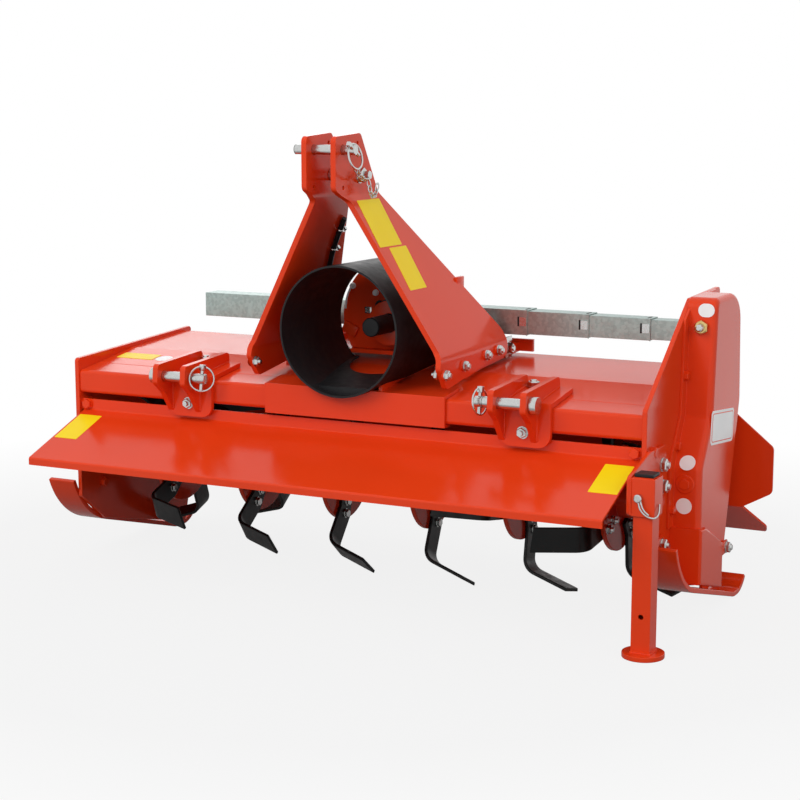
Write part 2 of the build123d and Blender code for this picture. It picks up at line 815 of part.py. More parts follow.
def pto_shaft():
    free_length = boss_front_y - pto_front_y
    free_end = Pos(headstock_x, pto_front_y + free_length / 2, shaft_z) * Rot(90, 0, 0)
    journal = Pos(headstock_x, boss_front_y + pto_seat / 2, shaft_z) * Rot(90, 0, 0)
    return free_end * Cylinder(pto_radius, free_length) + journal * Cylinder(pto_journal_radius, pto_seat)


def shield_ground(lift):
    """Everything behind and below a line around the beam and over the hood, as wide as the shield."""
    low = beam_top - beam_height
    points = hood_line(-lift, shield_rear_y, lift) + [(shield_rear_y, low), (-lift, low)]
    return across(Polygon(*points, align=None), headstock_x - shield_radius, headstock_x + shield_radius)


def pto_shield():
    """Shield with a round mouth, a flat floor over the beam sleeve and hood, and a notch at its rear."""
    inside = shield_bar(shield_radius - shield_wall, shield_front_y, shield_rear_y)
    shield = shield_bar(shield_radius, shield_front_y, shield_rear_y) - shield_ground(guide_lift)
    shield -= inside - shield_ground(guide_lift + shield_wall)
    notch = Pos(headstock_x, shield_rear_y) * Ellipse(shield_notch_width, shield_notch_length)
    return shield - extrude(notch, amount=hood_top(shield_rear_y) + guide_lift + 2 * shield_wall)


def cover_right():
    start = headstock_x - gearbox_half_width - output_boss
    return square_tube(cover_size, cover_wall, cover_end_x, start, shaft_y, shaft_z)


def cover_step(index):
    """Outer size of a piece of the telescoping cover, smaller towards the chain case."""
    return cover_size - 2 * index * (cover_wall + slide_gap)


def cover_piece(index):
    start = headstock_x + gearbox_half_width + output_boss
    joints = [start + cover_overlap, cover_joint_a, cover_joint_b, cover_joint_c, half]
    return square_tube(cover_step(index), cover_wall, joints[index] - cover_overlap, joints[index + 1], shaft_y, shaft_z)


def bracket_base(side):
    middle = headstock_x + side * hitch_spread / 2
    bottom = beam_top - bracket_bottom_drop
    grow = slide_gap + bracket_plate
    outer = [(cheek_rear_y, hood_top(cheek_rear_y) + grow), (0, beam_top + grow), (-grow, beam_top + grow)]
    outer += [(-grow, bottom)]
    inner = [(-slide_gap, bottom), (-slide_gap, beam_top + slide_gap), (0, beam_top + slide_gap)]
    inner += [(cheek_rear_y, hood_top(cheek_rear_y) + slide_gap)]
    plate = across(Polygon(*outer, *inner, align=None), middle - bracket_right, middle + bracket_left)
    return fillet(plate.edges().filter_by(Axis.Y).group_by(Axis.Z)[0], bracket_corner)


def hitch_cheeks(side):
    """The two cheeks that carry a lower hitch pin."""
    middle = headstock_x + side * hitch_spread / 2
    grow = slide_gap + bracket_plate
    points = [
        (-grow, beam_top + grow),
        (0, beam_top + grow),
        (cheek_rear_y, hood_top(cheek_rear_y) + grow),
        (cheek_rear_y, beam_top + cheek_rear_rise),
        (cheek_nose_y + cheek_nose_slope, beam_top + cheek_nose_rise),
        (cheek_nose_y, beam_top - cheek_nose_drop),
        (cheek_chin_y, beam_top - cheek_chin_drop),
        (-grow, beam_top - cheek_tip_drop),
    ]
    outline = Polygon(*points, align=None)
    corners = outline.vertices().group_by(Axis.Y)[-1] + outline.vertices().filter_by(lambda at: at.X < -grow - 1)
    hole = Pos(hitch_pin_y, beam_top + hitch_pin_rise) * Circle(hitch_pin_radius + hole_gap)
    section = fillet(corners, cheek_corner) - hole
    inner = cheek_gap / 2
    group = [across(section, middle + inner, middle + inner + cheek)]
    group.append(across(section, middle - inner - cheek, middle - inner))
    return gathered(group)


def hitch_pin(side):
    """Lower hitch pin with its head outwards."""
    middle = headstock_x + side * hitch_spread / 2
    outside = cheek_gap / 2 + cheek
    z = beam_top + hitch_pin_rise
    ends = sorted((middle - side * (outside + pin_tail), middle + side * outside))
    heads = sorted((middle + side * outside, middle + side * (outside + pin_head)))
    return rod(hitch_pin_radius, *ends, hitch_pin_y, z) + rod(pin_head_radius, *heads, hitch_pin_y, z)


nodes["front_beam"] = front_beam()
nodes["hood"] = hood()
nodes["front_guard"] = front_guard()
nodes["side_plate_right"] = side_plate_right()
nodes["side_plate_left"] = side_plate_left()
nodes["chain_case"] = chain_case()
nodes["chain_case_cap"] = chain_case_cap()
nodes["rotor_bearing"] = rotor_bearing()
nodes["skid_right"] = skid(-1)
nodes["skid_left"] = skid(1)
nodes["stand_bracket"] = stand_bracket()
nodes["stand_sleeve"] = stand_sleeve()
nodes["stand_leg"] = stand_leg()
nodes["stand_foot"] = stand_foot()
nodes["stand_cap"] = stand_cap()
nodes["rotor_shaft"] = rotor_shaft()
nodes["tines"] = tines()
nodes["hinge_rod"] = hinge_rod()
nodes["hinge_lugs"] = hinge_lugs()
nodes["rear_board"] = rear_board()
nodes["beam_sleeve"] = beam_sleeve()
nodes["headstock_base"] = headstock_base()
nodes["headstock_wall"] = headstock_wall()
nodes["mast_plate_left"] = mast_plate_shape()
nodes["mast_plate_right"] = mirrored(mast_plate_shape(), headstock_x)
nodes["mast_spacer"] = mast_spacer()
nodes["mast_bolt"] = mast_bolt()
nodes["top_pin"] = top_pin()
nodes["gearbox"] = gearbox()
nodes["pto_shaft"] = pto_shaft()
nodes["pto_shield"] = pto_shield()
nodes["cover_right"] = cover_right()
for index, name in enumerate(("cover_gearbox", "cover_inner", "cover_outer", "cover_end")):
    nodes[name] = cover_piece(index)
for side, name in ((1, "left"), (-1, "right")):
    nodes["hitch_base_" + name] = bracket_base(side)
    nodes["hitch_cheeks_" + name] = hitch_cheeks(side)
    nodes["hitch_pin_" + name] = hitch_pin(side)

# The origin is the middle of the whole machine's footprint, to a tenth, on the floor
boxes = [shape.bounding_box() for shape in nodes.values()]
origin_x = round((min(box.min.X for box in boxes) + max(box.max.X for box in boxes)) / 2, 1)
origin_y = round((min(box.min.Y for box in boxes) + max(box.max.Y for box in boxes)) / 2, 1)
os.makedirs("parts", exist_ok=True)
for name, shape in nodes.items():
    export_step(Pos(-origin_x, -origin_y, 0) * shape, "parts/" + name + ".step")
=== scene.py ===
"""Looks of a tractor-mounted rotary tiller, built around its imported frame."""
import json
import logging
import math
from dataclasses import dataclass
from enum import Enum

import bmesh
import bpy
from mathutils import Matrix, Vector


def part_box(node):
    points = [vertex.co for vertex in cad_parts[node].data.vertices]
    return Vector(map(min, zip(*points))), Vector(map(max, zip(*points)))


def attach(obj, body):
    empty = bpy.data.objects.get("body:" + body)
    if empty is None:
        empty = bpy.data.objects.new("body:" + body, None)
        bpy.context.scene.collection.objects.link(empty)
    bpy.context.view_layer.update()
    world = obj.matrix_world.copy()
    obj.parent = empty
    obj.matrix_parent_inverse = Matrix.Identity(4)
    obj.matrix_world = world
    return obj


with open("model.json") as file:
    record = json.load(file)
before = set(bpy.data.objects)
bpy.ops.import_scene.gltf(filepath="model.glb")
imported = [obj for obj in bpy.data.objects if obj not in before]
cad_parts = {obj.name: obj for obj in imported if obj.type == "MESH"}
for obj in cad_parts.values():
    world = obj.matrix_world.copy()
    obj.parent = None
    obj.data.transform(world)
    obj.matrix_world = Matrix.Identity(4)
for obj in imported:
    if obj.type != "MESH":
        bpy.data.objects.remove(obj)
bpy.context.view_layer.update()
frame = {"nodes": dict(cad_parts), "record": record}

MM = 0.001
BEAM_FRONT_HEIGHT = 48.0
BEAM_LOW = Vector(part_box("front_beam")[0])
BEAM_TOP = BEAM_LOW.z + BEAM_FRONT_HEIGHT * MM
HOOD_RUN = 193.0
HOOD_CLIMB = 27.0
log = logging.getLogger("tiller")


def at(x: float, y: float, rise: float) -> Vector:
    """Place in the shared frame, from the beam's front and its top front edge, given in millimetres."""
    return Vector((x * MM, BEAM_LOW.y + y * MM, BEAM_TOP + rise * MM))


def hood_rise(y: float) -> float:
    """Rise of the hood's front slope above the beam's top front edge, in millimetres."""
    return HOOD_CLIMB * y / HOOD_RUN


def rotor_centre() -> Vector:
    """Middle of the rotor's axle, from the record's joint."""
    joints = frame["record"]["behaviour"]["joints"]
    return Vector(next(row for row in joints if row["name"] == "rotor_spin")["pos_m"])


class Body(str, Enum):
    """Moving groups of the machine that a piece can ride on."""

    FRAME = "frame"
    HEADSTOCK = "headstock"
    COVER_INNER = "cover_inner"
    COVER_OUTER = "cover_outer"
    ROTOR = "rotor"
    POWER_SHAFT = "pto_shaft"
    REAR_BOARD = "rear_board"
    STAND = "stand_leg"


class Slot(str, Enum):
    """Finishes that the record names."""

    RED = "red_paint"
    GALVANISED = "galvanised"
    ZINC = "zinc"
    BLACK_STEEL = "black_steel"
    BLACK_PLASTIC = "black_plastic"


class Way(Enum):
    """Directions that fittings face."""

    LEFT = Vector((1, 0, 0))
    RIGHT = Vector((-1, 0, 0))
    FRONT = Vector((0, -1, 0))
    REAR = Vector((0, 1, 0))
    UP = Vector((0, 0, 1))
    DOWN = Vector((0, 0, -1))


class Shader:
    """A material's node tree, with short ways to add and join nodes."""

    noise_low: float = 0.3
    noise_high: float = 0.7

    def __init__(self, name: str) -> None:
        """Starts an empty material with its surface shader and object coordinates.

        Args:
            name: Name of the material.
        """
        self.material = bpy.data.materials.new(name)
        self.material.use_nodes = True
        self.tree = self.material.node_tree
        self.surface = self.tree.nodes["Principled BSDF"]
        self.place = self.tree.nodes.new("ShaderNodeTexCoord").outputs["Object"]

    def set(self, **sockets: float | tuple) -> None:
        """Sets the surface shader's own sockets, with underscores for spaces."""
        for name, value in sockets.items():
            self.surface.inputs[name.replace("_", " ")].default_value = value

    def noise(self, scale: float, detail: float = 2.0) -> bpy.types.NodeSocket:
        """Adds a noise.

        Args:
            scale: How fine the noise is.
            detail: How many finer noises are added to it.

        Returns:
            Socket with the noise's value.
        """
        node = self.tree.nodes.new("ShaderNodeTexNoise")
        node.inputs["Scale"].default_value = scale
        node.inputs["Detail"].default_value = detail
        self.tree.links.new(self.place, node.inputs["Vector"])
        return node.outputs["Fac"]

    def cells(self, scale: float) -> bpy.types.NodeSocket:
        """Adds crystal-like cells.

        Args:
            scale: How small the cells are.

        Returns:
            Socket with each cell's random colour.
        """
        node = self.tree.nodes.new("ShaderNodeTexVoronoi")
        node.inputs["Scale"].default_value = scale
        self.tree.links.new(self.place, node.inputs["Vector"])
        return node.outputs["Color"]

    def range(self, value: bpy.types.NodeSocket, low: float, high: float) -> bpy.types.NodeSocket:
        """Spreads the middle of a noise over a range of numbers.

        Args:
            value: Socket with values around one half.
            low: Result for the low values.
            high: Result for the high values.

        Returns:
            Socket with the result.
        """
        node = self.tree.nodes.new("ShaderNodeMapRange")
        node.inputs["From Min"].default_value = self.noise_low
        node.inputs["From Max"].default_value = self.noise_high
        node.inputs["To Min"].default_value = low
        node.inputs["To Max"].default_value = high
        self.tree.links.new(value, node.inputs["Value"])
        return node.outputs["Result"]

    def blend(self, share: bpy.types.NodeSocket, first: tuple, second: tuple) -> bpy.types.NodeSocket:
        """Mixes two colours.

        Args:
            share: Socket with values around one half.
            first: Colour for the low values.
            second: Colour for the high values.

        Returns:
            Socket with the colour.
        """
        node = self.tree.nodes.new("ShaderNodeValToRGB")
        node.color_ramp.elements[0].position = self.noise_low
        node.color_ramp.elements[0].color = (*first, 1)
        node.color_ramp.elements[1].position = self.noise_high
        node.color_ramp.elements[1].color = (*second, 1)
        self.tree.links.new(share, node.inputs["Fac"])
        return node.outputs["Color"]

    def bump(self, height: bpy.types.NodeSocket, strength: float, depth: float) -> None:
        """Roughens the surface by a height pattern.

        Args:
            height: Socket with the pattern.
            strength: How much of the pattern shows.
            depth: Depth of the pattern in metres.
        """
        node = self.tree.nodes.new("ShaderNodeBump")
        node.inputs["Strength"].default_value = strength
        node.inputs["Distance"].default_value = depth
        self.tree.links.new(height, node.inputs["Height"])
        self.tree.links.new(node.outputs["Normal"], self.surface.inputs["Normal"])

    def join(self, value: bpy.types.NodeSocket, socket: str) -> None:
        """Joins a pattern to one of the surface shader's sockets."""
        self.tree.links.new(value, self.surface.inputs[socket])


@dataclass(frozen=True)
class Paint:
    """Glossy paint with a slight peel, a little uneven in colour."""

    name: str
    deep: tuple[float, float, float]
    light: tuple[float, float, float]
    roughness: tuple[float, float] = (0.13, 0.19)
    shine: float = 0.28
    refraction: float = 1.45
    mottle_scale: float = 3.0
    gloss_scale: float = 38.0
    peel: float = 0.12
    peel_scale: float = 420.0
    peel_depth: float = 0.0004

    def material(self) -> bpy.types.Material:
        """Makes the paint's material.

        Returns:
            The material.
        """
        shader = Shader(self.name)
        shader.set(IOR=self.refraction, Specular_IOR_Level=self.shine)
        shader.join(shader.blend(shader.noise(self.mottle_scale), self.deep, self.light), "Base Color")
        shader.join(shader.range(shader.noise(self.gloss_scale, detail=3.0), *self.roughness), "Roughness")
        shader.bump(shader.noise(self.peel_scale), self.peel, self.peel_depth)
        return shader.material


@dataclass(frozen=True)
class Metal:
    """Bare metal with crystals or fine scratches."""

    name: str
    dark: tuple[float, float, float]
    bright: tuple[float, float, float]
    roughness: tuple[float, float]
    grain_scale: float
    metallic: float = 1.0
    bump: float = 0.15
    bump_depth: float = 0.0003

    def material(self) -> bpy.types.Material:
        """Makes the metal's material.

        Returns:
            The material.
        """
        shader = Shader(self.name)
        shader.set(Metallic=self.metallic)
        grain = shader.cells(self.grain_scale)
        shader.join(shader.blend(grain, self.dark, self.bright), "Base Color")
        coarse = shader.noise(self.grain_scale / 2, detail=3.0)
        shader.join(shader.range(coarse, *self.roughness), "Roughness")
        shader.bump(shader.noise(self.grain_scale * 4), self.bump, self.bump_depth)
        return shader.material


@dataclass(frozen=True)
class Satin:
    """Plain coating such as black enamel, plastic or vinyl, with a fine grain."""

    name: str
    deep: tuple[float, float, float]
    light: tuple[float, float, float]
    roughness: tuple[float, float]
    grain_scale: float
    grain_depth: float
    shine: float = 0.3
    mottle_scale: float = 14.0
    gloss_scale: float = 60.0
    grain: float = 0.2

    def material(self) -> bpy.types.Material:
        """Makes the coating's material.

        Returns:
            The material.
        """
        shader = Shader(self.name)
        shader.set(Specular_IOR_Level=self.shine)
        mottle = shader.noise(self.mottle_scale, detail=4.0)
        shader.join(shader.blend(mottle, self.deep, self.light), "Base Color")
        shader.join(shader.range(shader.noise(self.gloss_scale, detail=3.0), *self.roughness), "Roughness")
        shader.bump(shader.noise(self.grain_scale, detail=3.0), self.grain, self.grain_depth)
        return shader.material


class Finishes:
    """All finishes of the machine, each made once."""

    def __init__(self) -> None:
        """Makes the materials."""
        self.red = Paint("red_paint", (0.73, 0.044, 0.006), (0.79, 0.051, 0.008)).material()
        self.galvanised = Metal(
            "galvanised_sheet", (0.34, 0.42, 0.40), (0.41, 0.50, 0.475), (0.34, 0.46), 170.0).material()
        self.zinc = Metal(
            "bright_zinc", (0.53, 0.54, 0.53), (0.62, 0.63, 0.62), (0.16, 0.25), 900.0).material()
        self.brass = Metal("brass", (0.62, 0.44, 0.17), (0.74, 0.55, 0.24), (0.24, 0.36), 260.0).material()
        self.black_steel = Satin(
            "black_enamel", (0.004, 0.005, 0.005), (0.009, 0.010, 0.010), (0.3, 0.44),
            240.0, 0.0006).material()
        self.black_plastic = Satin(
            "black_plastic", (0.006, 0.006, 0.007), (0.011, 0.011, 0.012), (0.42, 0.54),
            700.0, 0.0004).material()
        self.yellow = Satin(
            "yellow_vinyl", (0.95, 0.70, 0.006), (0.97, 0.74, 0.010), (0.3, 0.4),
            300.0, 0.0002, shine=0.12).material()
        self.white = Satin(
            "white_vinyl", (0.86, 0.87, 0.87), (0.92, 0.92, 0.92), (0.3, 0.4), 300.0, 0.0002).material()
        self.by_slot = {
            Slot.RED: self.red,
            Slot.GALVANISED: self.galvanised,
            Slot.ZINC: self.zinc,
            Slot.BLACK_STEEL: self.black_steel,
            Slot.BLACK_PLASTIC: self.black_plastic,
        }


class Form:
    """One new piece, gathered from bmesh shapes and then made an object that rides on a body."""

    wire_sides: int = 10
    ring_steps: int = 28
    bevel_steps: int = 2
    bevel_angle: float = 40.0
    sharp_angle: float = 35.0
    merge_gap: float = 1e-6
    shank: float = 4.2 * MM
    spring: float = 1.9 * MM

    def __init__(self, name: str) -> None:
        """Starts an empty piece.

        Args:
            name: Name of the piece.
        """
        self.name = name
        self.mesh = bmesh.new()

    @staticmethod
    def facing(centre: Vector, out: Vector) -> Matrix:
        """Matrix that puts a shape's Z axis along a direction at a place."""
        return Matrix.Translation(centre) @ out.to_track_quat("Z", "Y").to_matrix().to_4x4()

    def bar(self, base: Vector, out: Vector, length: float, radius: float, sides: int = 24,
            end_radius: float | None = None) -> None:
        """Adds a round or many-sided bar that stands on a place.

        Args:
            base: Middle of its foot.
            out: Direction it stands in.
            length: Its length.
            radius: Radius at its foot.
            sides: Number of sides.
            end_radius: Radius at its far end, the same as the foot's if not given.
        """
        end = radius if end_radius is None else end_radius
        middle = base + out * (length / 2)
        bmesh.ops.create_cone(self.mesh, cap_ends=True, segments=sides, radius1=radius, radius2=end,
                              depth=length, matrix=self.facing(middle, out))

    def ring(self, centre: Vector, axis: Vector, radius: float, wire: float, turn: float = 360.0,
             start: Vector | None = None) -> None:
        """Adds a ring, or part of one, of round wire.

        Args:
            centre: Middle of the ring.
            axis: Direction through the ring.
            radius: From the middle of the ring to the middle of its wire.
            wire: Radius of the wire.
            turn: How far round it goes, in degrees.
            start: Direction from the middle to the first end.
        """
        side = (start or axis.orthogonal()).normalized()
        along = axis.cross(side)
        loop = bmesh.ops.create_circle(self.mesh, cap_ends=turn < 360, segments=self.wire_sides, radius=wire,
                                       matrix=self.facing(centre + side * radius, along))
        verts = loop["verts"]
        edges = list({edge for vert in verts for edge in vert.link_edges})
        faces = list({face for vert in verts for face in vert.link_faces})
        bmesh.ops.spin(self.mesh, geom=verts + edges + faces, cent=centre, axis=axis,
                       angle=math.radians(turn), steps=self.ring_steps, use_merge=turn >= 360)

    def block(self, centre: Vector, size: Vector, turn: Matrix | None = None, edge: float = 0.0) -> None:
        """Adds a block with rounded edges.

        Args:
            centre: Middle of the block.
            size: Its size along each axis.
            turn: Rotation of the block, none if not given.
            edge: Rounding of its edges, none if zero.
        """
        place = Matrix.Translation(centre) @ (turn or Matrix.Identity(4)) @ Matrix.Diagonal((*size, 1))
        made = bmesh.ops.create_cube(self.mesh, size=1.0, matrix=place)
        if edge > 0:
            edges = list({link for vert in made["verts"] for link in vert.link_edges})
            bmesh.ops.bevel(self.mesh, geom=edges, offset=edge, segments=self.bevel_steps, profile=0.5,
                            affect="EDGES", material=-1)

    def label(self, centre: Vector, right: Vector, up: Vector, width: float, height: float, corner: float,
              thickness: float = 0.0006) -> None:
        """Adds a thin flat label with rounded corners on a surface.

        Args:
            centre: Middle of the label, on the surface.
            right: Direction of its width.
            up: Direction of its height.
            width: Its width.
            height: Its height.
            corner: Radius of its corners.
            thickness: How far it stands out of the surface.
        """
        right = right.normalized()
        out = right.cross(up).normalized()
        up = out.cross(right)
        corners = []
        for across, along in ((-1, -1), (1, -1), (1, 1), (-1, 1)):
            place = centre + right * (across * width / 2) + up * (along * height / 2)
            corners.append(self.mesh.verts.new(place))
        self.mesh.faces.new(corners)
        rounded = bmesh.ops.bevel(self.mesh, geom=corners, offset=corner, segments=6, profile=0.5,
                                  affect="VERTICES", material=-1)
        face = next(face for face in rounded["faces"] + list(self.mesh.faces) if face.is_valid
                    and (face.calc_center_median() - centre).length < 1e-5)
        grown = bmesh.ops.extrude_face_region(self.mesh, geom=[face])
        top = [item for item in grown["geom"] if isinstance(item, bmesh.types.BMVert)]
        bmesh.ops.translate(self.mesh, verts=top, vec=out * thickness)

    def bolt(self, base: Vector, out: Vector, size: float, stub: float = 0.0) -> None:
        """Adds a washer and a six-sided head or nut.

        Args:
            base: Middle of the washer's foot, on the surface.
            out: Direction the head faces.
            size: Radius of the thread.
            stub: How far the thread stands out of the head.
        """
        washer = 0.3 * size
        head = 1.3 * size
        flats = 1.8 * size
        self.bar(base, out, washer, 2.0 * size)
        self.bar(base + out * washer, out, head * 0.8, flats, sides=6)
        self.bar(base + out * (washer + head * 0.8), out, head * 0.2, flats, 6, 1.5 * size)
        if stub > 0:
            self.bar(base + out * (washer + head), out, stub, size, 16, 0.85 * size)

    def linchpin(self, centre: Vector, up: Vector, facing: Vector, radius: float) -> None:
        """Adds a linchpin: a short shank with a square head and a spring ring around the pin's end.

        Args:
            centre: Where the shank crosses the pin's axis.
            up: Direction from the middle to the head.
            facing: Direction through the ring.
            radius: Radius of the ring.
        """
        self.bar(centre - up * (radius * 0.95), up, radius * 1.7, self.shank, 14)
        turn = up.to_track_quat("Z", "Y").to_matrix().to_4x4()
        self.block(centre + up * (radius * 0.92), Vector((11, 11, 12)) * MM, turn, 1.5 * MM)
        self.ring(centre, facing, radius, self.spring)

    def chain(self, start: Vector, end: Vector, sag: float, links: int, wire: float) -> None:
        """Adds a hanging chain of oval links.

        Args:
            start: Where the chain begins.
            end: Where it ends.
            sag: How far its middle hangs below the straight line.
            links: Number of links.
            wire: Radius of a link's wire.
        """
        places = []
        eye = 3.2 * wire
        for index in range(links + 1):
            share = index / links
            places.append(start.lerp(end, share) + Way.DOWN.value * (4 * sag * share * (1 - share)))
        for index, (low, high) in enumerate(zip(places, places[1:])):
            run = high - low
            side = run.cross(Vector((0.3, 0.9, 0.2)) if index % 2 else Vector((0.9, -0.2, 0.3))).normalized()
            before = set(self.mesh.verts)
            self.ring(Vector((0, 0, 0)), Way.UP.value, eye, wire, start=Way.LEFT.value)
            made = [vert for vert in self.mesh.verts if vert not in before]
            longer = run.length / 2 / eye + 0.35
            rows = (run.normalized() * longer, side.cross(run).normalized(), side)
            place = Matrix.Translation((low + high) / 2) @ Matrix(rows).transposed().to_4x4()
            bmesh.ops.transform(self.mesh, matrix=place, verts=made)

    def weld(self, start: Vector, end: Vector, size: float) -> None:
        """Adds a weld bead of small overlapping humps.

        Args:
            start: Where the bead begins.
            end: Where it ends.
            size: Radius of a hump.
        """
        count = max(2, int((end - start).length / (1.2 * size)))
        for index in range(count + 1):
            place = Matrix.Translation(start.lerp(end, index / count))
            bmesh.ops.create_uvsphere(self.mesh, u_segments=8, v_segments=5, radius=size, matrix=place)

    def wire(self, points: list[Vector], radius: float) -> None:
        """Adds a bent wire or narrow tube along a smooth line.

        Args:
            points: Control points of the line.
            radius: Radius of the wire.
        """
        curve = bpy.data.curves.new(self.name + "_line", "CURVE")
        curve.dimensions = "3D"
        curve.bevel_depth = radius
        curve.bevel_resolution = 3
        curve.use_fill_caps = True
        spline = curve.splines.new("NURBS")
        spline.points.add(len(points) - 1)
        for point, place in zip(spline.points, points):
            point.co = (*place, 1)
        spline.order_u = 3
        spline.use_endpoint_u = True
        line = bpy.data.objects.new(curve.name, curve)
        made = bpy.data.meshes.new_from_object(line)
        self.mesh.from_mesh(made)
        bpy.data.objects.remove(line)
        bpy.data.curves.remove(curve)
        bpy.data.meshes.remove(made)

    def finish(self, material: bpy.types.Material, body: Body, slot: Slot, edge: float = 0.0) -> None:
        """Makes the object, gives it its finish and puts it on its body.

        Args:
            material: Its finish.
            body: Body it rides on.
            slot: Finish in the record; not used.
            edge: Rounding of its sharp edges, none if zero.
        """
        bmesh.ops.remove_doubles(self.mesh, verts=self.mesh.verts, dist=self.merge_gap)
        bmesh.ops.recalc_face_normals(self.mesh, faces=self.mesh.faces)
        data = bpy.data.meshes.new(self.name)
        self.mesh.to_mesh(data)
        self.mesh.free()
        data.shade_smooth()
        data.set_sharp_from_angle(angle=math.radians(self.sharp_angle))
        data.materials.append(material)
        piece = bpy.data.objects.new(self.name, data)
        bpy.context.scene.collection.objects.link(piece)
        if edge > 0:
            rounding = piece.modifiers.new("edges", "BEVEL")
            rounding.width = edge
            rounding.segments = self.bevel_steps
            rounding.limit_method = "ANGLE"
            rounding.angle_limit = math.radians(self.bevel_angle)
        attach(piece, body.value)
        log.info("piece %s on %s", self.name, body.value)


@dataclass
class Plates:
    """The machine's own plates, tubes and castings from the frame, with rounded edges and their finishes."""

    finishes: Finishes
    plate_edge: float = 0.0016
    sheet_edge: float = 0.0006
    weld_gap: float = 1e-5
    flat_angle: float = 0.5
    edge_angle: float = 32.0
    sheets: tuple[str, ...] = ("cover_end", "cover_right", "cover_gearbox", "cover_inner", "cover_outer")

    def round_edges(self, node: bpy.types.Object, width: float) -> None:
        """Adds the modifiers that round a node's sharp edges.

        Args:
            node: The frame's object.
            width: Width of the rounding.
        """
        weld = node.modifiers.new("weld", "WELD")
        weld.merge_threshold = self.weld_gap
        flat = node.modifiers.new("flat", "DECIMATE")
        flat.decimate_type = "DISSOLVE"
        flat.angle_limit = math.radians(self.flat_angle)
        rounding = node.modifiers.new("edges", "BEVEL")
        rounding.width = width
        rounding.segments = 2
        rounding.limit_method = "ANGLE"
        rounding.angle_limit = math.radians(self.edge_angle)
        even = node.modifiers.new("even", "WEIGHTED_NORMAL")
        even.keep_sharp = False

    def dress(self) -> None:
        """Gives each node its finish and rounded edges."""
        for row in frame["record"]["subparts"]:
            node = frame["nodes"][row["node"]]
            node.data.materials.clear()
            node.data.materials.append(self.finishes.by_slot[Slot(row["material_slot"])])
            self.round_edges(node, self.sheet_edge if row["node"] in self.sheets else self.plate_edge)
            log.info("node %s finished", row["node"])


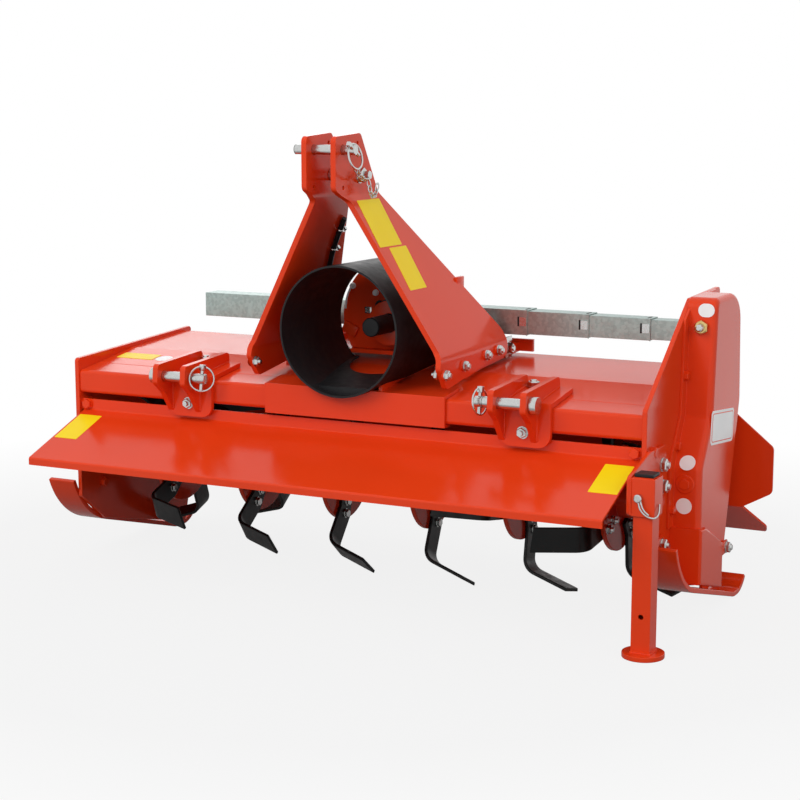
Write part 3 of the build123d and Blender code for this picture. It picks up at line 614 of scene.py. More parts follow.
@dataclass
class Mast:
    """Bolts, pins, chain, labels and hose on the headstock's mast."""

    finishes: Finishes
    middle: float = 15.0
    foot_out: float = 231.0
    foot_in: float = 220.0
    wall_in: float = 212.0
    foot_bolts: tuple[tuple[float, float], ...] = ((-3, 48), (84, 55), (190, 63), (249, 66))
    bolt_size: float = 5.4
    wall_front: float = 120.0
    pin_end: float = 65.0
    pin_y: float = -73.0
    pin_rise: float = 475.0
    spacer_y: float = -8.0
    spacer_rise: float = 426.0
    half_gap: float = 26.0
    plate: float = 11.0
    slope_cos: float = 0.8667
    slope_top: float = 388.0
    slope_run: float = 179.0
    slope_drop: float = 311.0
    boss: float = 4.0
    boss_radius: float = 11.0
    nut_face: float = 37.0
    chain_wire: float = 1.3
    label_edges: tuple[tuple[float, ...], ...] = ((-34, 58, 378, 290), (0, 71, 287, 207))
    hose_places: tuple[tuple[float, float], ...] = (
        (335, 94), (312, 101), (293, 106), (272, 114), (250, 126), (230, 139), (206, 152))
    hose_in: float = 17.6874
    hose_radius: float = 5.5
    clip_rises: tuple[float, float] = (312, 272)
    bracket_y: float = 330.0

    def build(self) -> None:
        """Builds all fittings of the mast."""
        self.bolts()
        self.top_pin()
        self.labels()
        self.hose()
        self.brackets()

    def slope_x(self, rise: float) -> float:
        """How far the sloped plate's outside is from the headstock's middle at a rise."""
        top = self.half_gap + self.plate / self.slope_cos
        return top + (self.slope_top - rise) * self.slope_run / self.slope_drop

    def bolts(self) -> None:
        """Bolts the mast plates' feet to the headstock's base."""
        form = Form("mast_foot_bolts")
        sleeves = Form("mast_foot_bosses")
        size = self.bolt_size * MM
        for side, places in ((1, self.foot_bolts), (-1, self.foot_bolts[:1] + self.foot_bolts[2:])):
            out = Way.LEFT.value * side
            for y, rise in places:
                face = at(self.middle + side * (self.foot_out - self.middle), y, rise)
                if side > 0:
                    sleeves.bar(face, out, self.boss * MM, self.boss_radius * MM, 20, 10 * MM)
                    form.bolt(face + out * (self.boss * MM), out, size, 3 * MM)
                else:
                    form.bar(face, out, 3.5 * MM, self.boss_radius * MM, 24, 7 * MM)
                inside = self.foot_in if y < self.wall_front else self.wall_in
                form.bolt(at(self.middle + side * (inside - self.middle), y, rise), -out, size, 5 * MM)
        form.finish(self.finishes.zinc, Body.HEADSTOCK, Slot.ZINC)
        sleeves.finish(self.finishes.red, Body.HEADSTOCK, Slot.RED)

    def top_pin(self) -> None:
        """Linchpin and chain on the top pin, and the nut of the bolt below it."""
        form = Form("top_linchpin")
        end = self.middle + self.pin_end - 5
        hole = at(end, self.pin_y, self.pin_rise)
        across = Vector((0, -0.87, 0.49))
        turn = across.to_track_quat("Z", "Y").to_matrix().to_4x4()
        form.bar(hole - across * (20 * MM), across, 40 * MM, form.shank, 14)
        form.block(hole + across * (22 * MM), Vector((8, 9, 9)) * MM, turn, 1.5 * MM)
        hanging = at(end + 3, self.pin_y, self.pin_rise - 12)
        form.ring(hanging, Vector((0.98, -0.05, 0.2)), 24 * MM, form.spring)
        head = at(self.middle - self.pin_end, self.pin_y, self.pin_rise)
        form.bar(head, Way.RIGHT.value, 1.5 * MM, 9.5 * MM, 28, 8 * MM)
        form.finish(self.finishes.zinc, Body.HEADSTOCK, Slot.ZINC)
        nut = Form("mast_bolt_nut")
        nut.bolt(at(self.middle + self.nut_face, self.spacer_y, self.spacer_rise), Way.LEFT.value, 8 * MM)
        nut.finish(self.finishes.zinc, Body.HEADSTOCK, Slot.ZINC)
        chain = Form("top_pin_chain")
        chain.chain(at(78, -72, 440), at(73, -14, 418), 7 * MM, 6, self.chain_wire * MM)
        chain.chain(at(74, -14, 417), at(80, 14, 408), 28 * MM, 8, self.chain_wire * MM)
        chain.finish(self.finishes.zinc, Body.HEADSTOCK, Slot.ZINC)

    def labels(self) -> None:
        """Blank yellow labels on the left plate's slope."""
        form = Form("mast_labels")
        down = Vector((self.slope_run, 0, -self.slope_drop)).normalized()
        for y_from, y_to, top, bottom in self.label_edges:
            middle = (top + bottom) / 2
            centre = at(self.middle + self.slope_x(middle), (y_from + y_to) / 2, middle)
            length = (top - bottom) / abs(down.z) * MM
            form.label(centre, Way.REAR.value, -down, (y_to - y_from) * MM, length, 2 * MM)
        form.finish(self.finishes.yellow, Body.HEADSTOCK, Slot.RED)

    def hose(self) -> None:
        """Black hose in two clips along the right plate's inner face."""
        line = {}
        for rise, y in self.hose_places:
            line[rise] = at(self.middle - self.slope_x(rise) + self.hose_in, y, rise)
        hose = Form("mast_hose")
        hose.wire(list(line.values()), self.hose_radius * MM)
        hose.finish(self.finishes.black_plastic, Body.HEADSTOCK, Slot.BLACK_PLASTIC)
        clips = Form("mast_hose_clips")
        upper, lower = (line[rise] for rise in self.clip_rises)
        along = (lower - upper).normalized()
        for centre in (upper, lower):
            clips.ring(centre, along, 6.4 * MM, 1.6 * MM)
            clips.block(centre + Vector((-2, 13, -2)) * MM, Vector((3, 16, 9)) * MM, edge=0.8 * MM)
            clips.bar(centre + Vector((-1, 16, -1)) * MM, Vector((0.87, 0.0, 0.5)), 6 * MM, 4.5 * MM, 6)
        clips.finish(self.finishes.zinc, Body.HEADSTOCK, Slot.ZINC)

    def brackets(self) -> None:
        """Zinc bracket behind the left foot and small lug on the left plate's rear edge."""
        plate = Form("base_bracket")
        plate.block(at(self.foot_in + 1.5, self.bracket_y, 62), Vector((3, 34, 44)) * MM, edge=0.8 * MM)
        plate.bolt(at(self.foot_in + 3, self.bracket_y, 60), Way.LEFT.value, 6 * MM, 3 * MM)
        plate.finish(self.finishes.zinc, Body.HEADSTOCK, Slot.ZINC)
        lug = Form("mast_lug")
        lug.block(at(self.middle + self.slope_x(200) - 6, 224, 201), Vector((10, 34, 28)) * MM, edge=2 * MM)
        lug.finish(self.finishes.red, Body.HEADSTOCK, Slot.RED)


@dataclass
class Hitch:
    """Linchpins, bolts and welds on the two lower hitch brackets."""

    finishes: Finishes
    middle: float = 15.0
    spread: float = 746.0
    half_gap: float = 27.0
    cheek: float = 12.0
    pin_y: float = -42.0
    pin_rise: float = 10.0
    pin_radius: float = 11.0
    tail: float = 18.0
    stub: float = 15.0
    linchpin_in: float = 7.0
    ring_radius: float = 25.0
    plate: float = 10.5
    front_bolt_rise: float = -48.0
    rear_bolt_y: float = 90.0
    bead: float = 3.0

    def build(self) -> None:
        """Builds the fittings of both brackets."""
        pins = Form("hitch_linchpins")
        bolts = Form("hitch_bolts")
        welds = Form("hitch_welds")
        for side in (1, -1):
            middle = self.middle + side * self.spread / 2
            tail = middle - side * (self.half_gap + self.cheek + self.tail)
            inwards = Way.RIGHT.value * side
            radius = self.pin_radius * MM
            pins.bar(at(tail, self.pin_y, self.pin_rise), inwards, self.stub * MM, radius, 28)
            end = at(tail - side * self.stub, self.pin_y, self.pin_rise)
            pins.bar(end, inwards, 2 * MM, radius, 28, 9 * MM)
            hole = at(tail - side * self.linchpin_in, self.pin_y, self.pin_rise)
            if side > 0:
                facing = Vector((0.98, -0.15, 0.1))
                up = Vector((0, 0.15, 0.99))
            else:
                facing = Vector((0.6, -0.79, 0.1))
                up = Vector((0.05, 0.1, 0.99))
            pins.linchpin(hole, up.normalized(), facing.normalized(), self.ring_radius * MM)
            bolts.bolt(at(middle + 10, -self.plate, self.front_bolt_rise), Way.FRONT.value, 6 * MM, 5 * MM)
            rise = hood_rise(self.rear_bolt_y) + self.plate
            bolts.bolt(at(middle - 10, self.rear_bolt_y, rise), Way.UP.value, 7 * MM, 3 * MM)
            self.weld_cheeks(welds, middle)
        pins.finish(self.finishes.zinc, Body.HEADSTOCK, Slot.ZINC)
        bolts.finish(self.finishes.zinc, Body.HEADSTOCK, Slot.ZINC)
        welds.finish(self.finishes.red, Body.HEADSTOCK, Slot.RED)

    def weld_cheeks(self, form: Form, middle: float) -> None:
        """Lays weld beads where a bracket's cheeks stand on its plate.

        Args:
            form: Piece that gathers the beads.
            middle: Middle of the bracket across the machine.
        """
        outer = self.half_gap + self.cheek
        for place in (-outer, -self.half_gap, self.half_gap, outer):
            x = middle + place
            form.weld(at(x, 6, self.plate + 1), at(x, 98, hood_rise(98) + self.plate), self.bead * MM)
            form.weld(at(x, -self.plate, 4), at(x, -self.plate, -60), self.bead * MM)


@dataclass
class Drive:
    """Fittings of the shield, gearbox and power shaft."""

    finishes: Finishes
    middle: float = 15.0
    wall_front: float = 233.0
    shaft_rise: float = 116.0
    gearbox_top: float = 182.0
    gearbox_rear: float = 413.0
    lid: tuple[float, float] = (58.0, 65.0)
    lid_y: float = 321.0
    rear_circle: float = 42.0
    cap_front: float = 108.0
    cap_length: float = 72.0
    cap_radius: float = 19.5

    def build(self) -> None:
        """Builds all fittings of the drive."""
        self.shield_ties()
        self.shaft_cap()
        self.gearbox_bolts()

    def shield_ties(self) -> None:
        """White ties, small brackets and hooks inside the shield."""
        ties = Form("shield_ties")
        for x, rise in ((-92, 184), (-38, 172)):
            ties.bar(at(x, self.wall_front, rise), Way.FRONT.value, 5 * MM, 7 * MM, 18, 6 * MM)
        ties.wire([at(-92, 229, 186), at(-101, 229, 172), at(-107, 229, 152), at(-108, 229, 136)], 2 * MM)
        ties.finish(self.finishes.white, Body.HEADSTOCK, Slot.ZINC)
        bracket = Form("shield_bracket")
        bracket.block(at(-55, 231, 135), Vector((16, 4, 14)) * MM, edge=1 * MM)
        bracket.bolt(at(-55, 229, 135), Way.FRONT.value, 3 * MM)
        bracket.finish(self.finishes.zinc, Body.HEADSTOCK, Slot.ZINC)
        stay = Form("shield_stay")
        tilt = Matrix.Rotation(math.radians(24), 4, "Y")
        stay.block(at(-96, 228, 94), Vector((34, 10, 22)) * MM, tilt, 1.5 * MM)
        stay.finish(self.finishes.red, Body.HEADSTOCK, Slot.RED)
        hooks = Form("shield_hooks")
        for x, rise in ((-26, 146), (-12, 148)):
            hooks.ring(at(x, 228, rise), Way.FRONT.value, 9 * MM, 2.4 * MM, 200, Vector((0.4, 0, 0.9)))
        hooks.finish(self.finishes.black_plastic, Body.HEADSTOCK, Slot.BLACK_PLASTIC)

    def shaft_cap(self) -> None:
        """Black cap over the power shaft's end, with a rounded rim."""
        cap = Form("power_shaft_cap")
        end = at(self.middle, self.cap_front, self.shaft_rise)
        length = self.cap_length * MM
        radius = self.cap_radius * MM
        cap.bar(end + Way.REAR.value * length, Way.FRONT.value, length, radius, 40)
        cap.bar(end, Way.FRONT.value, 2 * MM, radius, 40, 17.5 * MM)
        cap.finish(self.finishes.black_plastic, Body.POWER_SHAFT, Slot.BLACK_PLASTIC)

    def gearbox_bolts(self) -> None:
        """Bolts of the gearbox's lid, rear cap and boss, with the filler and level plugs."""
        form = Form("gearbox_bolts")
        top = self.gearbox_top
        half_width = self.lid[0] - 11
        half_length = self.lid[1] - 12
        for across in (-1, 1):
            for along in (-1, 0, 1):
                place = at(self.middle + across * half_width, self.lid_y + along * half_length, top)
                form.bolt(place, Way.UP.value, 5 * MM)
        for index in range(6):
            turn = math.radians(60 * index + 30)
            x = self.middle + self.rear_circle * math.cos(turn)
            rise = self.shaft_rise + self.rear_circle * math.sin(turn)
            form.bolt(at(x, self.gearbox_rear, rise), Way.REAR.value, 4 * MM)
        form.finish(self.finishes.zinc, Body.HEADSTOCK, Slot.ZINC)
        plugs = Form("gearbox_plugs")
        plugs.bar(at(self.middle, self.lid_y, top), Way.UP.value, 6 * MM, 17 * MM, 6)
        plugs.bar(at(self.middle, self.lid_y, top + 6), Way.UP.value, 12 * MM, 10 * MM, 20, 8 * MM)
        plugs.bolt(at(self.middle + 85, 380, 72), Way.LEFT.value, 6 * MM)
        plugs.finish(self.finishes.brass, Body.HEADSTOCK, Slot.ZINC)


@dataclass
class Cover:
    """Tabs, hems and slots of the galvanised cover over the cross shaft; each slot is a thin black sheet of
    painted shade where the opening is.
    """

    finishes: Finishes
    shaft_y: float = 345.0
    shaft_rise: float = 116.0
    pieces: tuple[tuple[float, float, Body], ...] = (
        (268.0, 52.0, Body.HEADSTOCK), (402.0, 48.0, Body.COVER_INNER), (532.0, 44.0, Body.COVER_OUTER))
    slot_corner: float = 0.6
    hem_radius: float = 0.9

    def build(self) -> None:
        """Builds the tabs, the thin black sheets of painted shade for the slots, and the hems at each joint.
        """
        left = Way.LEFT.value
        up = Way.UP.value
        middle = self.shaft_rise + 2
        corner = self.slot_corner * MM
        for index, (end, size, body) in enumerate(self.pieces):
            front = self.shaft_y - size / 2
            top = self.shaft_rise + size / 2
            # Slots: thin black sheets on the cover, painted shade where the openings are.
            slot_shade = Form(f"cover_slots_{index}")
            slot_shade.label(at(end - 20, front, middle), left, up, 3.5 * MM, 20 * MM, corner)
            slot_shade.label(at(end - 9, self.shaft_y, top), left, Way.REAR.value, 4 * MM, 22 * MM, corner)
            slot_shade.finish(self.finishes.black_plastic, body, Slot.BLACK_PLASTIC)
            tabs = Form(f"cover_tabs_{index}")
            tabs.label(at(end - 10, front, middle), left, up, 15 * MM, 18 * MM, 1 * MM, 1 * MM)
            tabs.finish(self.finishes.zinc, body, Slot.GALVANISED)
            hem = Form(f"cover_hem_{index}")
            for rise in (-size / 2, size / 2):
                hem.bar(at(end - 2, front, self.shaft_rise + rise), left, 2 * MM, self.hem_radius * MM, 8)
            hem.finish(self.finishes.galvanised, body, Slot.GALVANISED)


@dataclass
class ChainCase:
    """Bolts, plugs and blank labels on the chain case and its cap."""

    finishes: Finishes
    outside: float = 698.0
    rim_out: float = 645.0
    cap_out: float = 704.0
    front_bolts: tuple[tuple[float, float], ...] = ((198, 48), (160, -82), (133, -201))
    rear_bolts: tuple[tuple[float, float], ...] = ((404, 120), (414, -10), (385, -120), (362, -200))
    breather_x: float = 670.0
    breather_rise: float = 141.0
    plug_x: float = 667.0
    plug_rise: float = -151.0
    round_label: float = 31.0
    plate_y: float = 276.0
    plate_rise: float = -58.0
    tab_rise: float = -306.0

    def build(self) -> None:
        """Builds all fittings of the chain case."""
        rim = Form("case_rim_bolts")
        for y, rise in self.front_bolts + self.rear_bolts:
            rim.bolt(at(self.rim_out, y, rise), Way.LEFT.value, 5 * MM)
        rim.finish(self.finishes.red, Body.FRAME, Slot.RED)
        self.plugs()
        self.labels()
        self.cap_tab()

    def plugs(self) -> None:
        """Brass breather and red level plug on the front."""
        x = self.breather_x
        rise = self.breather_rise
        front = Way.FRONT.value
        brass = Form("case_breather")
        brass.bar(at(x, 217, rise), front, 9 * MM, 14 * MM, 6)
        brass.bar(at(x, 208, rise), front, 3 * MM, 13 * MM, 24, 11 * MM)
        brass.finish(self.finishes.brass, Body.FRAME, Slot.ZINC, 0.8 * MM)
        dome = Form("case_breather_cap")
        dome.bar(at(x, 205, rise), front, 9 * MM, 8.5 * MM, 24, 7 * MM)
        dome.bar(at(x, 196, rise), front, 2.5 * MM, 7 * MM, 24, 4 * MM)
        dome.finish(self.finishes.zinc, Body.FRAME, Slot.ZINC)
        plug = Form("case_plug")
        plug.bar(at(self.plug_x, 146, self.plug_rise), front, 3 * MM, 19 * MM, 32, 17.5 * MM)
        plug.bar(at(self.plug_x, 143, self.plug_rise), front, 4 * MM, 11 * MM, 6)
        plug.finish(self.finishes.red, Body.FRAME, Slot.RED, 0.8 * MM)

    def labels(self) -> None:
        """Blank white labels: two round ones in front, one near the top and a framed one on the outside."""
        form = Form("case_labels")
        slope = Vector((0, 59, 88)).normalized()
        left = Way.LEFT.value
        size = self.round_label * MM
        form.label(at(669, 152, -111), left, slope, size, size, 15.4 * MM)
        form.label(at(666, 146, -194), left, Way.UP.value, size, size, 15.4 * MM)
        steep = Vector((0, 17, 228)).normalized()
        form.label(at(677, 220.2, 173), left, steep, 32 * MM, 26 * MM, 12.8 * MM)
        along = Vector((0, 1, -0.1))
        up = Vector((0, 0.1, 1))
        plate = at(self.outside, self.plate_y, self.plate_rise)
        form.label(plate, along, up, 150 * MM, 66 * MM, 9 * MM)
        form.finish(self.finishes.white, Body.FRAME, Slot.RED)
        layers = (("case_label_border", 0.6, 138, 56, 7, self.finishes.red),
                  ("case_label_field", 0.9, 133, 52, 5.5, self.finishes.white))
        for name, off, width, height, corner, finish in layers:
            layer = Form(name)
            place = at(self.outside + off, self.plate_y, self.plate_rise)
            layer.label(place, along, up, width * MM, height * MM, corner * MM, 0.3 * MM)
            layer.finish(finish, Body.FRAME, Slot.RED)

    def cap_tab(self) -> None:
        """Tab with a bolt at the cap's rear edge."""
        tab = Form("case_cap_tab")
        tab.block(at(self.cap_out - 3, 300, self.tab_rise), Vector((5, 40, 26)) * MM, edge=1.5 * MM)
        tab.finish(self.finishes.red, Body.FRAME, Slot.RED)
        bolt = Form("case_cap_bolt")
        bolt.bolt(at(self.cap_out - 0.5, 309, self.tab_rise), Way.LEFT.value, 6 * MM, 3 * MM)
        bolt.finish(self.finishes.zinc, Body.FRAME, Slot.ZINC)


@dataclass
class Sides:
    """Bolts and blank labels on the side plates, skids, hood and front guard."""

    finishes: Finishes
    plate_out: float = 640.0
    ear: float = 8.0
    ear_bolts: tuple[tuple[float, float], ...] = ((72, -256), (365, -338))
    bearing_face: float = 652.0
    bearing_bolts: float = 56.0
    knob_x: float = 615.0
    knob_rise: float = -72.0
    knob: float = 6.0
    guard_run: float = 194.0
    guard_drop: float = 72.0

    def build(self) -> None:
        """Builds all fittings of the frame's sides."""
        self.bolts()
        self.bearing()
        self.labels()

    def bolts(self) -> None:
        """Bolts of the skids and the guard."""
        form = Form("skid_bolts")
        for side in (1, -1):
            out = Way.LEFT.value * side
            for y, rise in self.ear_bolts:
                form.bolt(at(side * (self.plate_out + self.ear), y, rise), out, 7 * MM, 4 * MM)
        form.finish(self.finishes.zinc, Body.FRAME, Slot.ZINC)
        knobs = Form("guard_bolts")
        size = self.knob * MM
        for side in (1, -1):
            out = Way.LEFT.value * side
            knobs.bolt(at(side * self.plate_out, 28, self.knob_rise), out, size)
            for y, rise in self.ear_bolts:
                knobs.bolt(at(side * (self.plate_out - 10), y, rise), -out, size)
            knobs.bolt(at(side * self.knob_x, 6, self.knob_rise), Way.FRONT.value, size)
        knobs.bolt(at(-self.plate_out, 418, 34), Way.RIGHT.value, size)
        knobs.finish(self.finishes.red, Body.FRAME, Slot.RED)

    def bearing(self) -> None:
        """Bolts and end cap of the rotor's right bearing."""
        centre = rotor_centre()
        form = Form("bearing_bolts")
        for index in range(4):
            turn = math.radians(90 * index + 45)
            place = centre + Vector((0, math.cos(turn), math.sin(turn))) * (self.bearing_bolts * MM)
            place.x = -self.bearing_face * MM
            form.bolt(place, Way.RIGHT.value, 6 * MM, 3 * MM)
        form.finish(self.finishes.zinc, Body.FRAME, Slot.ZINC)
        cap = Form("bearing_cap")
        centre.x = -(self.bearing_face + 30) * MM
        cap.bar(centre, Way.RIGHT.value, 5 * MM, 34 * MM, 48, 31 * MM)
        cap.bar(centre + Way.RIGHT.value * (5 * MM), Way.RIGHT.value, 3 * MM, 12 * MM, 6)
        cap.finish(self.finishes.red, Body.FRAME, Slot.RED, 1 * MM)

    def labels(self) -> None:
        """Blank labels on the front guard and the hood."""
        yellow = Form("frame_labels")
        down = Vector((0, -self.guard_run, -self.guard_drop)).normalized()
        rise = -84 - 68 * self.guard_drop / self.guard_run
        for x in (-591, 594):
            yellow.label(at(x, -62, rise), Way.LEFT.value, -down, 56 * MM, 98 * MM, 2 * MM)
        slope = Vector((0, HOOD_RUN, HOOD_CLIMB)).normalized()
        yellow.label(at(-566, 128, hood_rise(128)), Way.LEFT.value, slope, 92 * MM, 38 * MM, 2 * MM)
        yellow.finish(self.finishes.yellow, Body.FRAME, Slot.RED)
        white = Form("hood_label")
        white.label(at(-498, 124, hood_rise(124)), Way.LEFT.value, slope, 38 * MM, 38 * MM, 18.9 * MM)
        white.finish(self.finishes.white, Body.FRAME, Slot.RED)


@dataclass
class Stand:
    """Bolts, locking pin and welds of the parking stand."""

    finishes: Finishes
    bracket_out: float = 648.0
    sleeve_inside: float = 648.0
    sleeve_front: float = -110.5
    sleeve_rear: float = -65.5
    sleeve_rises: tuple[float, float] = (-162.0, -92.0)
    pin_radius: float = 7.5
    spring_wire: float = 1.7
    long_leg: tuple[tuple[float, float, float], ...] = (
        (664, 0, -131), (666, -2, -141), (672, -4, -150), (682, -3, -158),
        (694, 0, -161), (699, 8, -157), (697, 20, -148), (695, 26, -140))
    short_leg: tuple[tuple[float, float, float], ...] = (
        (668, 0, -130), (671, -2, -140), (677, -4, -149), (685, -3, -155))
    bead: float = 2.6

    def build(self) -> None:
        """Builds all fittings of the stand."""
        form = Form("stand_bolts")
        for y, rise in ((62, -100), (69, -142)):
            form.bolt(at(self.bracket_out, y, rise), Way.LEFT.value, 7 * MM, 4 * MM)
        form.finish(self.finishes.zinc, Body.FRAME, Slot.ZINC)
        self.clip_pin()
        self.welds()

    def clip_pin(self) -> None:
        """Locking pin with a spring wire that closes around the sleeve's side."""
        pin = Form("stand_pin")
        place = at(664, self.sleeve_front, -127)
        radius = self.pin_radius * MM
        pin.bar(place, Way.FRONT.value, 9 * MM, radius, 24)
        pin.bar(place + Way.FRONT.value * (9 * MM), Way.FRONT.value, 2 * MM, radius, 24, 5.5 * MM)
        front = self.sleeve_front - 5
        for leg in (self.long_leg, self.short_leg):
            pin.wire([at(x, front + y, rise) for x, y, rise in leg], self.spring_wire * MM)
        pin.finish(self.finishes.zinc, Body.FRAME, Slot.ZINC)

    def welds(self) -> None:
        """Weld beads between the sleeve and its bracket, and around the leg's foot."""
        form = Form("stand_welds")
        low, high = self.sleeve_rises
        for y in (self.sleeve_front, self.sleeve_rear):
            start = at(self.sleeve_inside, y, low + 4)
            form.weld(start, at(self.sleeve_inside, y, high - 4), self.bead * MM)
        form.finish(self.finishes.red, Body.FRAME, Slot.RED)
        foot = Form("stand_foot_weld")
        low, high = (Vector(corner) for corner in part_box("stand_leg"))
        z = low.z + 0.5 * MM
        corners = [(low.x, low.y, z), (high.x, low.y, z), (high.x, high.y, z), (low.x, high.y, z)]
        for start, end in zip(corners, corners[1:] + corners[:1]):
            foot.weld(Vector(start), Vector(end), self.bead * MM)
        foot.finish(self.finishes.red, Body.STAND, Slot.RED)


@dataclass
class Rotor:
    """Bolts that hold the tines on their flanges."""

    finishes: Finishes
    inner_width: float = 1260.0
    end_gap: float = 117.5
    flanges: int = 6
    tines: int = 4
    phase: float = -45.0
    twist: float = 15.0
    tine_face: float = 12.2
    flange_face: float = 5.0
    reaches: tuple[float, float] = (66.0, 92.0)
    size: float = 5.0

    def build(self) -> None:
        """Builds two bolts and nuts for every tine."""
        centre = rotor_centre()
        spacing = (self.inner_width - 2 * self.end_gap) / (self.flanges - 1)
        form = Form("tine_bolts")
        for index in range(self.flanges):
            x = (index - (self.flanges - 1) / 2) * spacing
            for step in range(self.tines):
                hand = 1 if step % 2 == 0 else -1
                turn = math.radians(self.phase + index * self.twist + step * 360 / self.tines)
                out = Vector((0, -math.sin(turn), math.cos(turn)))
                for reach in self.reaches:
                    place = Vector((x * MM, centre.y, centre.z)) + out * (reach * MM)
                    head = place + Way.LEFT.value * (hand * self.tine_face * MM)
                    nut = place - Way.LEFT.value * (hand * self.flange_face * MM)
                    form.bolt(head, Way.LEFT.value * hand, self.size * MM)
                    form.bolt(nut, Way.LEFT.value * -hand, self.size * MM, 5 * MM)
        form.finish(self.finishes.zinc, Body.ROTOR, Slot.ZINC)


@dataclass
class Hinge:
    """Washers and split pins at the ends of the rear board's hinge rod."""

    finishes: Finishes
    washer: float = 14.0
    rod: float = 8.0
    pin_off: float = 5.0
    pin_length: float = 26.0
    pin_radius: float = 1.6

    def build(self) -> None:
        """Builds the ends of the hinge rod."""
        low, high = (Vector(corner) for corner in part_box("hinge_rod"))
        middle = (low + high) / 2
        form = Form("hinge_rod_ends")
        for x, out in ((low.x, Way.RIGHT.value), (high.x, Way.LEFT.value)):
            place = Vector((x, middle.y, middle.z))
            form.bar(place - out * (1 * MM), out, 3 * MM, self.washer * MM, 28)
            form.bar(place + out * (2 * MM), out, 7 * MM, self.rod * MM, 24, 7 * MM)
            hole = place + out * (self.pin_off * MM)
            foot = hole + Way.DOWN.value * (self.pin_length / 2 * MM)
            form.bar(foot, Way.UP.value, self.pin_length * MM, self.pin_radius * MM, 10)
            form.ring(hole + Way.UP.value * (16 * MM), Way.FRONT.value, 3.2 * MM, 1.4 * MM)
        form.finish(self.finishes.zinc, Body.FRAME, Slot.ZINC)


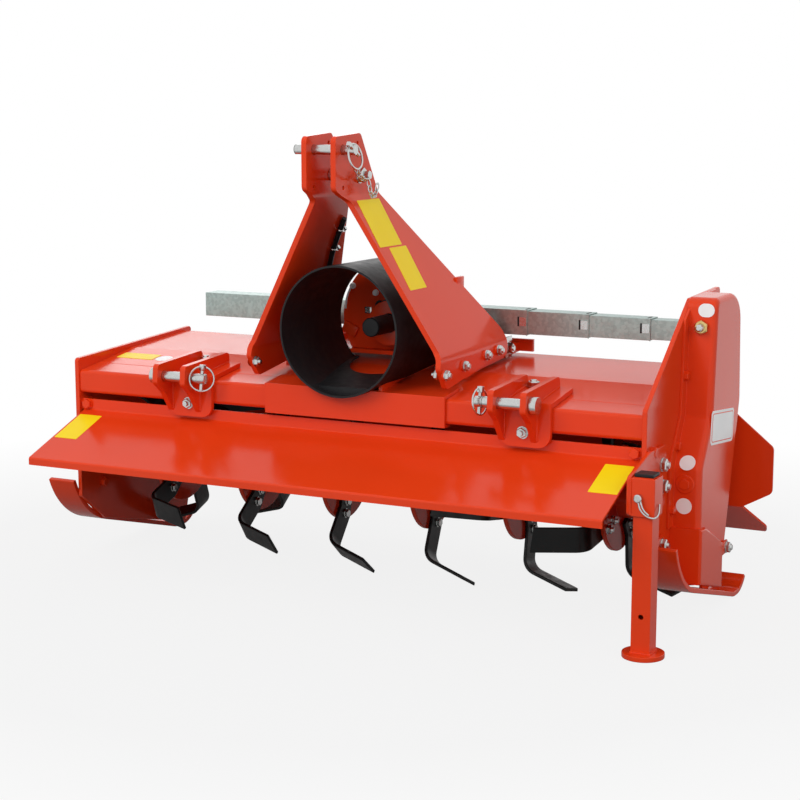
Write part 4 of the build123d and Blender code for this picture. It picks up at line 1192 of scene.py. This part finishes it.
@dataclass
class Studio:
    """Plain pale floor, soft light and the camera of the photograph."""

    floor_size: float = 80.0
    floor_grey: float = 0.3
    floor_roughness: float = 0.9
    shadow_from: float = 1.0
    shadow_to: float = 1.9
    near_seen: float = 0.86
    near_mirrored: float = 0.2
    camera_across: float = 1.6671
    camera_along: float = -3.2289
    camera_rise: float = 0.5607
    camera_pitch: float = 9.46
    camera_turn: float = 26.7
    lens: float = 80.0
    sensor: float = 36.0
    sky_light: float = 0.43
    aim_rise: float = 0.4

    def build(self) -> None:
        """Builds the floor, the light and the camera."""
        self.floor()
        self.world()
        self.lamp("key", (-1.2, -3.2, 3.0), 2.4, 80.0)
        self.lamp("fill", (3.4, -1.4, 2.0), 2.0, 26.0)
        self.lamp("back", (0.6, 3.2, 2.6), 2.4, 30.0)
        self.lamp("front", (1.6, -4.2, 2.4), 1.6, 34.0)
        self.lamp("rim", (-2.1, 3.0, 2.0), 1.6, 9.5, mirrored=True)
        self.camera()

    def floor(self) -> None:
        """Lays the floor, which keeps the machine's shadow."""
        mesh = bmesh.new()
        bmesh.ops.create_grid(mesh, x_segments=1, y_segments=1, size=self.floor_size / 2)
        data = bpy.data.meshes.new("floor")
        mesh.to_mesh(data)
        mesh.free()
        data.materials.append(self.floor_paint())
        floor = bpy.data.objects.new("floor", data)
        bpy.context.scene.collection.objects.link(floor)

    @staticmethod
    def seen(tree: bpy.types.NodeTree) -> bpy.types.NodeSocket:
        """Tells rays to the eye, mirrored ones and those through glass from the rays that light the machine.

        Args:
            tree: Nodes of the floor or of the surroundings.

        Returns:
            Socket that is one for those rays and zero for the others.
        """
        path = tree.nodes.new("ShaderNodeLightPath")
        found = path.outputs["Is Camera Ray"]
        for kind in ("Is Glossy Ray", "Is Transmission Ray"):
            either = tree.nodes.new("ShaderNodeMath")
            either.operation = "MAXIMUM"
            tree.links.new(found, either.inputs[0])
            tree.links.new(path.outputs[kind], either.inputs[1])
            found = either.outputs["Value"]
        return found

    def floor_paint(self) -> bpy.types.Material:
        """Pale floor, white to the eye and in mirrored rays, less so near the machine, where its shadow lies.

        Returns:
            The floor's material.
        """
        shader = Shader("pale_floor")
        grey = self.floor_grey
        shader.set(Base_Color=(grey, grey, grey, 1), Roughness=self.floor_roughness)
        nodes, links = shader.tree.nodes, shader.tree.links
        away = nodes.new("ShaderNodeVectorMath")
        away.operation = "LENGTH"
        white = nodes.new("ShaderNodeMapRange")
        white.inputs["From Min"].default_value = self.shadow_from
        white.inputs["From Max"].default_value = self.shadow_to
        white.inputs["To Max"].default_value = 1.0
        near = nodes.new("ShaderNodeMapRange")
        near.inputs["To Min"].default_value = self.near_mirrored
        near.inputs["To Max"].default_value = self.near_seen
        share = nodes.new("ShaderNodeMath")
        share.operation = "MULTIPLY"
        glow = nodes.new("ShaderNodeEmission")
        mix = nodes.new("ShaderNodeMixShader")
        links.new(shader.place, away.inputs[0])
        links.new(nodes.new("ShaderNodeLightPath").outputs["Is Camera Ray"], near.inputs["Value"])
        links.new(near.outputs["Result"], white.inputs["To Min"])
        links.new(away.outputs["Value"], white.inputs["Value"])
        links.new(self.seen(shader.tree), share.inputs[0])
        links.new(white.outputs["Result"], share.inputs[1])
        links.new(share.outputs["Value"], mix.inputs["Fac"])
        links.new(shader.surface.outputs["BSDF"], mix.inputs[1])
        links.new(glow.outputs["Emission"], mix.inputs[2])
        links.new(mix.outputs["Shader"], nodes["Material Output"].inputs["Surface"])
        return shader.material

    def world(self) -> None:
        """Sets the white surroundings, softer as a light than to the eye."""
        world = bpy.data.worlds.new("white_room")
        bpy.context.scene.world = world
        world.use_nodes = True
        nodes, links = world.node_tree.nodes, world.node_tree.links
        back = nodes["Background"]
        back.inputs["Color"].default_value = (1, 1, 1, 1)
        level = nodes.new("ShaderNodeMapRange")
        level.inputs["To Min"].default_value = self.sky_light
        level.inputs["To Max"].default_value = 1.0
        links.new(self.seen(world.node_tree), level.inputs["Value"])
        links.new(level.outputs["Result"], back.inputs["Strength"])

    def lamp(self, name: str, place: tuple[float, float, float], size: float, power: float,
             mirrored: bool = False) -> None:
        """Adds a soft square lamp that looks at the machine.

        Args:
            name: Name of the lamp.
            place: Where it hangs.
            size: Side of the square.
            power: Its power in watts.
            mirrored: Whether glossy surfaces show it.
        """
        light = bpy.data.lights.new(name, "AREA")
        light.size = size
        light.energy = power
        lamp = bpy.data.objects.new(name, light)
        lamp.location = place
        lamp.visible_glossy = mirrored
        aim = Vector((0, 0, self.aim_rise)) - lamp.location
        lamp.rotation_euler = aim.to_track_quat("-Z", "Y").to_euler()
        bpy.context.scene.collection.objects.link(lamp)

    def camera(self) -> None:
        """Stands the camera where the photograph was taken from."""
        data = bpy.data.cameras.new("camera")
        data.lens = self.lens
        data.sensor_width = self.sensor
        data.sensor_height = self.sensor
        data.sensor_fit = "HORIZONTAL"
        camera = bpy.data.objects.new("camera", data)
        camera.location = (self.camera_across, self.camera_along, BEAM_TOP + self.camera_rise)
        camera.rotation_euler = (math.radians(90 - self.camera_pitch), 0, math.radians(self.camera_turn))
        bpy.context.scene.collection.objects.link(camera)
        bpy.context.scene.camera = camera


def main() -> None:
    """Builds the whole scene in order."""
    logging.basicConfig(level=logging.INFO, format="%(message)s")
    bpy.context.scene.view_settings.view_transform = "Standard"
    finishes = Finishes()
    Studio().build()
    Plates(finishes).dress()
    for fittings in (Mast, Hitch, Drive, Cover, ChainCase, Sides, Stand, Rotor, Hinge):
        fittings(finishes).build()


if __name__ == "__main__":
    main()
